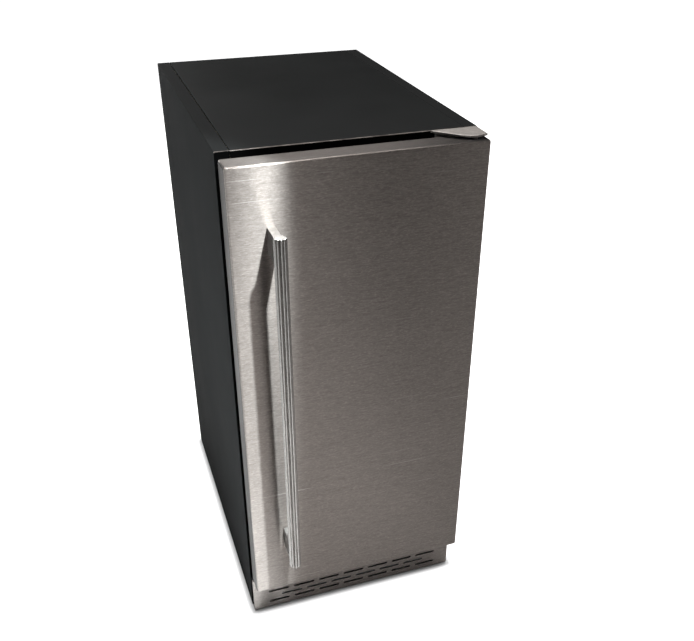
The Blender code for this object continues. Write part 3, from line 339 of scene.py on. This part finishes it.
# A darker copy of the steel for the handle posts: painted shade on their sides.
FINISH["post"] = brushed_steel(
    "satin_post", dark=(0.085, 0.078, 0.072), light=(0.125, 0.116, 0.108), roughness=0.45, anisotropy=0.4
)
# A much lighter copy of the steel for the end faces of the handle bar and posts: a painted highlight.
FINISH["painted_highlight_end"] = brushed_steel(
    "painted_highlight_end", dark=(0.44, 0.42, 0.40), light=(0.60, 0.58, 0.56), roughness=0.50, anisotropy=0.0
)
FINISH["hinge"] = brushed_steel(
    "satin_hinge_plate", dark=(0.30, 0.27, 0.25), light=(0.46, 0.43, 0.40), roughness=0.42, anisotropy=0.3
)
# Near-black with no shine: painted shade, for faces that lie in shadow, such as front folds behind the door,
# seams, the front frame and slot walls.
FINISH["painted_shade"] = moulded("painted_shade_black", (0.0016, 0.0016, 0.0016), 0.8, level=0.0)
FINISH["side_sheet"] = coated_sheet("black_side_sheet", 0.78)
FINISH["window"] = moulded("display_window", (0.006, 0.007, 0.008), 0.10, 0.000004)
FINISH["lamp"] = moulded("lamp_lens", (0.80, 0.82, 0.80), 0.22, 0.00002, transmission=0.4)
# A lighter bare-metal colour for the rounded top front fold of the cabinet: a painted highlight along the
# edge.
FINISH["fold_painted_highlight"] = drawn_metal("fold_painted_highlight", (0.13, 0.115, 0.105), (0.07, 0.06, 0.055), 0.6)

# ---------------------------------------------------------------- mesh helpers


def smooth_by_angle(shape, degrees):
    """Smooth shading, with the edges that turn more than this kept sharp."""
    limit = math.radians(degrees)
    for face in shape.faces:
        face.smooth = True
    for edge in shape.edges:
        edge.smooth = len(edge.link_faces) == 2 and edge.calc_face_angle(0.0) < limit


def piece(name, shape, material, body, slot, *replaced, sharp=40.0):
    """Makes a bmesh into a named piece that rides on a body and stands for the CAD nodes named."""
    smooth_by_angle(shape, sharp)
    mesh = bpy.data.meshes.new(name)
    shape.to_mesh(mesh)
    shape.free()
    made = bpy.data.objects.new(name, mesh)
    bpy.context.scene.collection.objects.link(made)
    mesh.materials.append(material)
    flatten = made.modifiers.new("flat_faces_stay_flat", "WEIGHTED_NORMAL")
    flatten.mode = "FACE_AREA"
    flatten.weight = 100
    flatten.keep_sharp = True
    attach(made, body)
    if replaced:
        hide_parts(*replaced)
    return made


def cad_shape(node):
    """The CAD node's mesh, welded and with its flat faces whole again."""
    shape = bmesh.new()
    shape.from_mesh(NODES[node].data)
    bmesh.ops.remove_doubles(shape, verts=shape.verts, dist=0.000005)
    bmesh.ops.dissolve_limit(
        shape, angle_limit=math.radians(0.4), verts=shape.verts, edges=shape.edges, delimit=set()
    )
    return shape


def round_edges(shape, edges, width, segments):
    """Rounds the edges given by width on each side of them."""
    bmesh.ops.bevel(
        shape,
        geom=edges,
        offset=width,
        offset_type="OFFSET",
        segments=segments,
        profile=0.5,
        affect="EDGES",
        clamp_overlap=True,
    )


def soften(shape, width, segments=2, degrees=48.0):
    """Rounds every edge that turns more than this."""
    limit = math.radians(degrees)
    edges = [edge for edge in shape.edges if len(edge.link_faces) == 2 and edge.calc_face_angle(0.0) > limit]
    round_edges(shape, edges, width, segments)


def refined(node, slot, width=0.0004, segments=2, finish=None):
    """A CAD part with its edges broken as a real one's are, in place of the sharp one."""
    shape = cad_shape(node)
    if width:
        soften(shape, width, segments)
    return piece(node + "_finished", shape, FINISH[finish or slot], BODY_OF[node], slot, node)


def box_shape(low, high):
    """A box between two corners."""
    shape = bmesh.new()
    bmesh.ops.create_cube(shape, size=1.0)
    low = Vector(low)
    high = Vector(high)
    bmesh.ops.scale(shape, vec=high - low, verts=shape.verts)
    bmesh.ops.translate(shape, vec=(low + high) / 2, verts=shape.verts)
    return shape


def merged(shapes):
    """Several bmeshes as one."""
    whole = bmesh.new()
    holder = bpy.data.meshes.new("holder")
    for shape in shapes:
        shape.to_mesh(holder)
        shape.free()
        whole.from_mesh(holder)
    bpy.data.meshes.remove(holder)
    return whole


def turned(profile, steps=32):
    """A lathe shape about +Z from (radius, height) points."""
    shape = bmesh.new()
    rings = []
    for radius, height in profile:
        if radius < 1e-6:
            rings.append([shape.verts.new((0.0, 0.0, height))])
            continue
        turns = (2 * math.pi * step / steps for step in range(steps))
        rings.append([shape.verts.new((radius * math.cos(t), radius * math.sin(t), height)) for t in turns])
    for first, second in zip(rings, rings[1:]):
        for step in range(steps):
            following = (step + 1) % steps
            corners = [
                first[step % len(first)],
                first[following % len(first)],
                second[following % len(second)],
                second[step % len(second)],
            ]
            unique = list(dict.fromkeys(corners))
            if len(unique) > 2:
                shape.faces.new(unique)
    bmesh.ops.recalc_face_normals(shape, faces=shape.faces)
    return shape


def aimed(shape, place, way):
    """Turns a shape's +Z to way and moves its origin to place."""
    turn = Vector(way).to_track_quat("Z", "Y").to_matrix()
    bmesh.ops.rotate(shape, matrix=turn, verts=shape.verts)
    bmesh.ops.translate(shape, vec=Vector(place), verts=shape.verts)
    return shape


# ---------------------------------------------------------------- pieces: door and handle

FLUTES = 10
FLUTE_STEPS = 14
FLUTE_DEPTH = 0.0028
FLUTE_ROUNDING = 0.9
BAR_CHAMFER = 0.0012
BAR_SPANS = 24


def fluted_ring(shape, centre, radius, z):
    """One closed ring of points round the fluted bar: rounded ridges with narrow grooves between them."""
    count = FLUTES * FLUTE_STEPS
    ring = []
    for number in range(count):
        ridge = abs(math.cos(math.pi * FLUTES * number / count)) ** FLUTE_ROUNDING
        reach = radius - FLUTE_DEPTH * (1.0 - ridge)
        angle = 2 * math.pi * number / count + math.pi / FLUTES
        place = (centre.x + reach * math.cos(angle), centre.y + reach * math.sin(angle), z)
        ring.append(shape.verts.new(place))
    return ring


def handle_bar():
    """The fluted bar, with chamfered ends."""
    low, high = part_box("handle_bar")
    centre = (low + high) / 2
    radius = (high.x - low.x) / 2
    near = BAR_CHAMFER * 0.35
    straight = high.z - low.z - 2 * BAR_CHAMFER
    levels = [(low.z, BAR_CHAMFER), (low.z + near, near), (low.z + BAR_CHAMFER, 0.0)]
    levels += [(low.z + BAR_CHAMFER + straight * step / BAR_SPANS, 0.0) for step in range(1, BAR_SPANS)]
    levels += [(high.z - BAR_CHAMFER, 0.0), (high.z - near, near), (high.z, BAR_CHAMFER)]

    shape = bmesh.new()
    rings = [fluted_ring(shape, centre, radius - shrink, z) for z, shrink in levels]
    for first, second in zip(rings, rings[1:]):
        for number in range(len(first)):
            following = (number + 1) % len(first)
            shape.faces.new((first[number], first[following], second[following], second[number]))
    shape.faces.new(list(reversed(rings[0])))
    shape.faces.new(rings[-1])
    bar = piece("handle_bar_fluted", shape, FINISH["fluted"], "door", "stainless", "handle_bar", sharp=55.0)
    # The bar's end faces take the painted highlight.
    painted_highlight_ends(bar)


def painted_highlight_ends(made):
    """Gives a piece's top and bottom faces the much lighter end colour: a painted highlight."""
    made.data.materials.append(FINISH["painted_highlight_end"])
    for face in made.data.polygons:
        if abs(face.normal.z) > 0.6:
            face.material_index = 1


def door_skin():
    """The folded door skin: its top and bottom flanges and its side returns take duller, darker copies of its
    face's steel; the darkness is painted shade.
    """
    skin = refined("door_skin", "stainless", 0.0003, 1)
    skin.data.materials.append(FINISH["flange"])
    skin.data.materials.append(FINISH["return"])
    for face in skin.data.polygons:
        # Flanges, then side returns, by the way each face turns: painted shade.
        if abs(face.normal.z) > 0.9:
            face.material_index = 1
        elif abs(face.normal.x) > 0.9:
            face.material_index = 2


def door_parts():
    door_skin()
    handle_bar()
    # The posts take the darker painted-shade steel, their end faces the painted highlight.
    for node in ("handle_post_top", "handle_post_bottom"):
        painted_highlight_ends(refined(node, "stainless", 0.0009, 3, finish="post"))
    for node in ("door_top_cap", "door_bottom_cap"):
        refined(node, "black_plastic", 0.0003)
    refined("door_foam", "foam", 0.0)
    refined("door_inner_liner", "white_plastic", 0.0012, 3)


# ---------------------------------------------------------------- pieces: everything else

# Slot, width of the broken edges and nodes of the parts that need nothing else.
PLAIN_PARTS = (
    ("black_sheet", 0.0003, ("base_skirt",)),
    ("galvanized", 0.0003, ("base_pan",)),
    ("white_plastic", 0.0006, ("inner_liner", "ice_unit_housing", "ice_chute", "scoop_holder")),
    ("white_plastic", 0.0004, ("water_distributor", "water_sump")),
    ("foam", 0.0, ("cabinet_foam",)),
    ("nickel", 0.0003, ("evaporator_plate",)),
    ("copper", 0.0, ("evaporator_coil", "suction_line", "hot_gas_line", "discharge_line", "capillary_tube")),
    ("copper", 0.0, ("filter_drier", "bin_level_probe")),
    ("clear_plastic", 0.0004, ("ice_curtain", "ice_scoop")),
    ("black_plastic", 0.0004, ("control_panel", "fan_shroud", "circulation_pump", "control_board_box")),
    ("black_plastic", 0.0, ("fan_blade", "pump_impeller", "power_inlet_gland")),
    ("grey_plastic", 0.0003, ("power_button", "clean_button")),
    ("grey_plastic", 0.0, ("drain_hose", "bin_drain_fitting")),
    ("acetal", 0.0003, ("water_float",)),
    ("silicone", 0.0, ("pump_hose", "water_fill_tube")),
    ("aluminium_fins", 0.0, ("condenser",)),
    ("compressor_black", 0.0, ("compressor",)),
    ("galvanized", 0.0, ("fan_motor",)),
    ("brass", 0.0, ("hot_gas_valve", "water_inlet_valve")),
    ("black_plastic", 0.0, ("levelling_foot_front_left", "levelling_foot_front_right")),
    ("black_plastic", 0.0, ("levelling_foot_rear_left", "levelling_foot_rear_right")),
)

NEAR = 0.0008
FOLD_ROUNDING = 0.0006
SEAM_ROUNDING = 0.0005


def edge_lies_at(edge, x):
    return all(abs(corner.co.x - x) < NEAR for corner in edge.verts)


def painted_front(node, seams, finish, highlighted_fold):
    """A cabinet panel: its front-facing faces behind the door and the faces in its seams take the painted
    shade black.

    seams are the x places of the seams that run front to back; the last argument says if the top front edge is
    rounded, which gives it faces for the painted highlight.
    """
    low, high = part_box(node)
    shape = cad_shape(node)
    top_edges = [edge for edge in shape.edges if all(corner.co.z > high.z - NEAR for corner in edge.verts)]
    fold = [edge for edge in top_edges if all(corner.co.y < low.y + NEAR for corner in edge.verts)]
    seam = [edge for edge in top_edges if any(edge_lies_at(edge, place) for place in seams)]
    if highlighted_fold:
        round_edges(shape, fold, FOLD_ROUNDING, 2)
        seam = [edge for edge in seam if edge.is_valid]
    round_edges(shape, seam, SEAM_ROUNDING, 1)
    panel = piece(node + "_finished", shape, FINISH[finish], BODY_OF[node], "black_sheet", node)
    panel.data.materials.append(FINISH["painted_shade"])
    panel.data.materials.append(FINISH["fold_painted_highlight"])
    for face in panel.data.polygons:
        shaded_seam_face = any(abs(face.center.x - place) < NEAR and face.normal.z > -0.5 for place in seams)
        # Faces turned to the front and faces in the seams: painted shade.
        if face.normal.y < -0.9 or shaded_seam_face:
            face.material_index = 1
        # The rounded top front edge: the lighter fold colour, a painted highlight.
        elif face.normal.y < -0.2 and face.normal.z > 0.2:
            face.material_index = 2


def kickplate():
    """The slotted kickplate; the walls of its slots take the painted shade black, for the shadow in the slots.
    """
    low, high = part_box("kickplate")
    side_margin = 0.010
    low_margin = 0.006
    # The plate takes the lighter copy of the steel, painted light.
    plate = refined("kickplate", "stainless", 0.0003, 1, finish="kick_painted_light")
    plate.data.materials.append(FINISH["painted_shade"])
    for face in plate.data.polygons:
        within_x = low.x + side_margin < face.center.x < high.x - side_margin
        within_z = low.z + low_margin < face.center.z < high.z - side_margin
        # Slot walls: painted shade.
        if within_x and within_z and face.normal.y > -0.6:
            face.material_index = 1


def plain_parts():
    top_low, top_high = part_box("top_panel")
    seams = (top_low.x, top_high.x)
    for node in ("left_side_panel", "right_side_panel"):
        painted_front(node, seams, "side_sheet", False)
    painted_front("top_panel", seams, "black_sheet", True)
    for slot, width, names in PLAIN_PARTS:
        for node in names:
            refined(node, slot, width)
    # The front frame takes the painted shade black: the gap round the door lies in shadow.
    refined("front_frame", "black_sheet", 0.0, finish="painted_shade")
    kickplate()
    for node in ("top_hinge_plate", "bottom_hinge_plate"):
        refined(node, "stainless", 0.0005, 3, finish="hinge")


# ---------------------------------------------------------------- pieces: small parts without a CAD solid

SCREW_RADIUS = 0.0045
SCREW_TALL = 0.0004
SCREW_INSET = 0.009
OUTER_FACE_DEPTH = 0.0002
INDICATOR_PLACES = (-0.060, -0.052, 0.052, 0.060)
INDICATOR_SUNK = 0.0001

# The cavity lamp: its base's front and back edges lie behind the control panel, and its top below the panel's.
LAMP_FRONT = 0.020
LAMP_BACK = 0.044
LAMP_TOP = 0.0006
LAMP_BASE_TALL = 0.0030
LAMP_LENS_TALL = 0.0055


def seam_shade_beads():
    """Sealing beads in the two seams between the top panel and the side panels, in the painted shade black so
    that the seams read as dark lines of shadow.
    """
    low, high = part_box("top_panel")
    left_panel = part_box("left_side_panel")[1].x
    right_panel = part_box("right_side_panel")[0].x
    clearance = 0.00005
    below = 0.0011
    deep = 0.0120
    beads = []
    for near, far in ((left_panel, low.x), (high.x, right_panel)):
        start = (near + clearance, low.y + below, high.z - deep)
        end = (far - clearance, high.y - below, high.z - below)
        beads.append(box_shape(start, end))
    piece("top_seam_shade_beads", merged(beads), FINISH["painted_shade"], "cabinet", "rubber")


def screw():
    """A hex-headed sheet-metal screw on its washer, standing on z = 0."""
    washer_top = SCREW_TALL * 0.45
    head_foot = SCREW_TALL * 0.46
    head_radius = SCREW_RADIUS * 0.62
    washer = turned(
        [
            (0.0, 0.0),
            (SCREW_RADIUS, 0.0),
            (SCREW_RADIUS, SCREW_TALL * 0.3),
            (SCREW_RADIUS * 0.72, washer_top),
            (0.0, washer_top),
        ]
    )
    head = turned(
        [
            (0.0, head_foot),
            (head_radius, head_foot),
            (head_radius, SCREW_TALL * 0.85),
            (SCREW_RADIUS * 0.5, SCREW_TALL),
            (0.0, SCREW_TALL),
        ],
        steps=6,
    )
    return merged([washer, head])


def rear_screws():
    """Screws along the edges of the back panel and the rear cover, with none inside their middle columns."""
    heads = []
    for node, rows in (("back_panel", 4), ("rear_cover", 2)):
        low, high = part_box(node)
        for row in range(rows):
            z = low.z + SCREW_INSET + (high.z - low.z - 2 * SCREW_INSET) * row / (rows - 1)
            columns = [low.x + SCREW_INSET, high.x - SCREW_INSET]
            if row in (0, rows - 1):
                columns.insert(1, 0.0)
            heads += [aimed(screw(), (x, high.y - SCREW_TALL, z), (0.0, 1.0, 0.0)) for x in columns]
    piece("rear_screws", merged(heads), FINISH["nickel"], "cabinet", "nickel")


def sunk_rear(node, slot):
    """A rear sheet set in by a screw head's height, so that the heads stay inside the cabinet's depth."""
    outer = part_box(node)[1].y
    shape = cad_shape(node)
    for corner in shape.verts:
        if corner.co.y > outer - OUTER_FACE_DEPTH:
            corner.co.y -= SCREW_TALL
    piece(node + "_finished", shape, FINISH[slot], BODY_OF[node], slot, node)


def display():
    """The control panel's dark window and its four indicator lamps, two on each side."""
    low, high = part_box("control_panel")
    middle = (low.z + high.z) / 2
    half_wide = 0.0297
    half_tall = 0.0101
    proud = 0.0002
    sunk = 0.0006
    window = box_shape(
        (-half_wide, low.y - proud, middle - half_tall), (half_wide, low.y + sunk, middle + half_tall)
    )
    soften(window, 0.0003, 2)
    piece("display_window", window, FINISH["window"], "cabinet", "black_plastic")
    lens_outline = [(0.0, 0.0), (0.0016, 0.0), (0.0015, 0.0004), (0.0009, 0.0008), (0.0, 0.0009)]
    lamps = []
    for x in INDICATOR_PLACES:
        lens = turned(lens_outline, steps=20)
        lamps.append(aimed(lens, (x, low.y + INDICATOR_SUNK, middle), (0.0, -1.0, 0.0)))
    piece("indicator_lamps", merged(lamps), FINISH["lamp"], "cabinet", "clear_plastic")


def lamp_block(half_wide, margin, low_z, high_z):
    """A block of the cavity lamp, inset by margin from the lamp base's front and back."""
    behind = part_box("control_panel")[1].y
    front = behind + LAMP_FRONT + margin
    back = behind + LAMP_BACK - margin
    return box_shape((-half_wide, front, low_z), (half_wide, back, high_z))


def cavity_lamp():
    """The long lamp under the cavity's ceiling, behind the control panel."""
    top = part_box("control_panel")[1].z - LAMP_TOP
    base_foot = top - LAMP_BASE_TALL
    lens_foot = base_foot - LAMP_LENS_TALL
    base = lamp_block(0.048, 0.0, base_foot, top)
    soften(base, 0.0008)
    piece("lamp_base", base, FINISH["white_plastic"], "cabinet", "white_plastic")
    lens = lamp_block(0.045, 0.002, lens_foot, base_foot)
    soften(lens, 0.0022, 4)
    piece("lamp_lens", lens, FINISH["lamp"], "cabinet", "clear_plastic")


def gasket():
    """The door's magnetic gasket: a bellows with a flat sealing face, mitred at the corners."""
    low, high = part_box("door_gasket")
    deep = high.y - low.y
    # Inset from the outer edge in metres, and the share of the gasket's depth.
    profile = [
        (0.0030, 0.0), (0.0030, 0.16), (0.0012, 0.28), (0.0026, 0.40), (0.0006, 0.54), (0.0022, 0.68),
        (0.0, 0.80), (0.0, 0.97), (0.0006, 1.0), (0.0104, 1.0), (0.0110, 0.97), (0.0110, 0.80),
        (0.0088, 0.68), (0.0104, 0.54), (0.0084, 0.40), (0.0098, 0.28), (0.0080, 0.16), (0.0080, 0.0),
    ]
    shape = bmesh.new()
    loops = []
    for inset, reach in profile:
        y = low.y + deep * reach
        corners = (
            (low.x + inset, y, low.z + inset),
            (high.x - inset, y, low.z + inset),
            (high.x - inset, y, high.z - inset),
            (low.x + inset, y, high.z - inset),
        )
        loops.append([shape.verts.new(corner) for corner in corners])
    for number, loop in enumerate(loops):
        following = loops[(number + 1) % len(loops)]
        for corner in range(4):
            beside = (corner + 1) % 4
            shape.faces.new((loop[corner], loop[beside], following[beside], following[corner]))
    bmesh.ops.recalc_face_normals(shape, faces=shape.faces)
    piece("door_gasket_bellows", shape, FINISH["rubber"], "door", "rubber", "door_gasket", sharp=25.0)


def small_parts():
    seam_shade_beads()
    sunk_rear("back_panel", "black_sheet")
    sunk_rear("rear_cover", "galvanized")
    rear_screws()
    display()
    cavity_lamp()
    gasket()


# ---------------------------------------------------------------- floor, light and camera

FLOOR_SIZE = 60.0
FLOOR_GLOW = 1.0
# How far out from the machine the floor's painted contact shadow reaches.
CONTACT_REACH = 0.014
WORLD = 0.022
WHITE = (1.0, 1.0, 1.0, 1.0)

KEY_PLACE = (-0.015, -0.528, 1.223)
KEY_POWER = 132.0
KEY_RADIUS = 0.012
KEY_COLOR = (0.88, 0.965, 1.0)
KEY_HALF_ANGLE = math.radians(55.0)
KEY_BLEND = 0.14
KEY_EDGE_X = -0.086
KEY_EDGE_Z = 0.5

POOL_PLACE = (-0.10, -0.72, 2.2)
POOL_POWER = 215.0
POOL_RADIUS = 0.1
POOL_ANGLE = math.radians(28.0)
POOL_BLEND = 0.9

# The front of the door's face, and a place inside the machine that lights are aimed at.
DOOR_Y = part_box("door_skin")[0].y
MACHINE = (0.0, 0.1, 0.4)

# Name, place, place aimed at, width, height and power of each rectangular light.
AREA_LIGHTS = (
    ("fill_light", (-0.12, -1.2, 2.1), (-0.12, DOOR_Y, 0.4), 0.9, 0.5, 15.0),
    ("rim_light", (0.80, -1.29, 1.3), (0.18, DOOR_Y, 0.8), 0.2, 1.0, 0.5),
    ("side_light", (2.6, 0.9, 1.3), MACHINE, 1.0, 1.6, 26.0),
    ("rear_light", (-0.6, 2.9, 1.2), MACHINE, 1.0, 1.6, 22.0),
    ("softbox", (0.0, 0.7, 3.2), (0.0, 0.0, 0.0), 2.4, 1.8, 112.0),
)

CAMERA_EYE = Vector((-0.3654, -1.2931, 1.1921))
CAMERA_TARGET = Vector((-0.0043, -0.2541, 0.4991))
CAMERA_ROLL = math.radians(0.328)
SENSOR_WIDTH = 36.0
FOCAL_LENGTH = 44.05
CAMERA_SHIFT_X = -0.0150
CAMERA_SHIFT_Y = 0.0691


def white_where(tree, kind):
    """A white emission or background shader and the socket that is 1 for the camera's own rays."""
    white = tree.nodes.new(kind)
    white.inputs["Color"].default_value = WHITE
    return white, tree.nodes.new("ShaderNodeLightPath").outputs["Is Camera Ray"]


def seen_white_floor(tree, lighting, glow):
    """Adds white to a floor shader, by the strength of glow and for the camera's own rays alone."""
    white, camera_ray = white_where(tree, "ShaderNodeEmission")
    strength = tree.nodes.new("ShaderNodeMath")
    strength.operation = "MULTIPLY"
    tree.links.new(camera_ray, strength.inputs[0])
    tree.links.new(glow, strength.inputs[1])
    tree.links.new(strength.outputs[0], white.inputs["Strength"])
    join = tree.nodes.new("ShaderNodeAddShader")
    tree.links.new(lighting, join.inputs[0])
    tree.links.new(white.outputs[0], join.inputs[1])
    return join.outputs[0]


def seen_white_sky(tree, lighting):
    """Mixes the sky's dim light with plain white for the camera's own rays."""
    white, camera_ray = white_where(tree, "ShaderNodeBackground")
    join = tree.nodes.new("ShaderNodeMixShader")
    tree.links.new(camera_ray, join.inputs[0])
    tree.links.new(lighting, join.inputs[1])
    tree.links.new(white.outputs[0], join.inputs[2])
    return join.outputs[0]


def glow_with_painted_contact_shadow(made):
    """The floor's glow with a painted contact shadow: none under the machine, rising smoothly to its full
    strength a little way off.
    """
    high = cad_box[1]
    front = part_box("kickplate")[0].y
    place = made.node("ShaderNodeSeparateXYZ")
    made.feed(place.inputs["Vector"], made.place)
    beside = made.math("SUBTRACT", made.math("ABSOLUTE", place.outputs["X"], 0.0), high.x)
    before = made.math("SUBTRACT", front, place.outputs["Y"])
    behind = made.math("SUBTRACT", place.outputs["Y"], high.y)
    beyond = made.math("MAXIMUM", made.math("MAXIMUM", before, behind), beside)
    ramp = made.spread(beyond, 0.0, FLOOR_GLOW, 0.0, CONTACT_REACH)
    ramp.node.interpolation_type = "SMOOTHSTEP"
    return ramp


def floor():
    """The pale floor, which the camera sees as plain white but for a narrow painted contact shadow round the
    machine.
    """
    bpy.ops.mesh.primitive_plane_add(size=FLOOR_SIZE, location=(0.0, 0.0, 0.0))
    made_floor = bpy.context.object
    made_floor.name = "studio_floor"
    made = Finish("pale_floor", (0.80, 0.80, 0.80), 0.9)
    made.set("Specular IOR Level", 0.0)
    output = made.tree.nodes["Material Output"].inputs["Surface"]
    made.feed(output, seen_white_floor(made.tree, made.shader.outputs[0], glow_with_painted_contact_shadow(made)))
    made_floor.data.materials.append(made.material)


def sky():
    """A dim even light from all round, which the camera sees as plain white."""
    world = bpy.data.worlds.new("studio")
    world.use_nodes = True
    tree = world.node_tree
    light = tree.nodes["Background"]
    light.inputs["Color"].default_value = WHITE
    light.inputs["Strength"].default_value = WORLD
    tree.links.new(seen_white_sky(tree, light.outputs[0]), tree.nodes["World Output"].inputs["Surface"])
    bpy.context.scene.world = world


def aimed_light(name, kind, place, target, power):
    """A lamp of this kind at place, turned to target and unseen by the camera."""
    lamp = bpy.data.lights.new(name, kind)
    lamp.energy = power
    made = bpy.data.objects.new(name, lamp)
    bpy.context.scene.collection.objects.link(made)
    made.location = place
    made.rotation_euler = (Vector(target) - Vector(place)).to_track_quat("-Z", "Y").to_euler()
    made.visible_camera = False
    return lamp


def key_light():
    """The small hard light before and above the door; its cone's edge crosses the door at KEY_EDGE_X.

    Its strength doesn't fall off with distance, so its bright strip runs down the whole door.
    """
    place = Vector(KEY_PLACE)
    edge_ray = (Vector((KEY_EDGE_X, DOOR_Y, KEY_EDGE_Z)) - place).normalized()
    leftward = edge_ray.cross(Vector((0.0, 0.0, 1.0))).normalized() * -1.0
    axis = edge_ray * math.cos(KEY_HALF_ANGLE) + leftward * math.sin(KEY_HALF_ANGLE)
    key = aimed_light("key_light", "SPOT", place, place + axis, KEY_POWER)
    key.shadow_soft_size = KEY_RADIUS
    key.spot_size = 2 * KEY_HALF_ANGLE
    key.spot_blend = KEY_BLEND
    key.color = KEY_COLOR
    key.use_nodes = True
    tree = key.node_tree
    falloff = tree.nodes.new("ShaderNodeLightFalloff")
    falloff.inputs["Strength"].default_value = 1.0
    tree.links.new(falloff.outputs["Constant"], tree.nodes["Emission"].inputs["Strength"])


def floor_pool():
    """A spot straight down on the floor before the door, whose bounce lights the door's lower half."""
    pool = aimed_light("floor_pool", "SPOT", POOL_PLACE, (*POOL_PLACE[:2], 0.0), POOL_POWER)
    pool.shadow_soft_size = POOL_RADIUS
    pool.spot_size = POOL_ANGLE
    pool.spot_blend = POOL_BLEND


def studio():
    floor()
    sky()
    key_light()
    floor_pool()
    for name, place, target, width, height, power in AREA_LIGHTS:
        lamp = aimed_light(name, "AREA", place, target, power)
        lamp.shape = "RECTANGLE"
        lamp.size = width
        lamp.size_y = height


def camera():
    """A short telephoto from the front left, above the machine."""
    data = bpy.data.cameras.new("camera")
    data.sensor_width = SENSOR_WIDTH
    data.lens = FOCAL_LENGTH
    data.shift_x = CAMERA_SHIFT_X
    data.shift_y = CAMERA_SHIFT_Y
    made = bpy.data.objects.new("camera", data)
    bpy.context.scene.collection.objects.link(made)
    made.location = CAMERA_EYE
    level = (CAMERA_TARGET - CAMERA_EYE).to_track_quat("-Z", "Y")
    made.rotation_euler = (level.to_matrix() @ Euler((0.0, 0.0, CAMERA_ROLL)).to_matrix()).to_euler()
    bpy.context.scene.camera = made


camera()
door_parts()
plain_parts()
small_parts()
studio()
bpy.context.scene.view_settings.view_transform = "Standard"
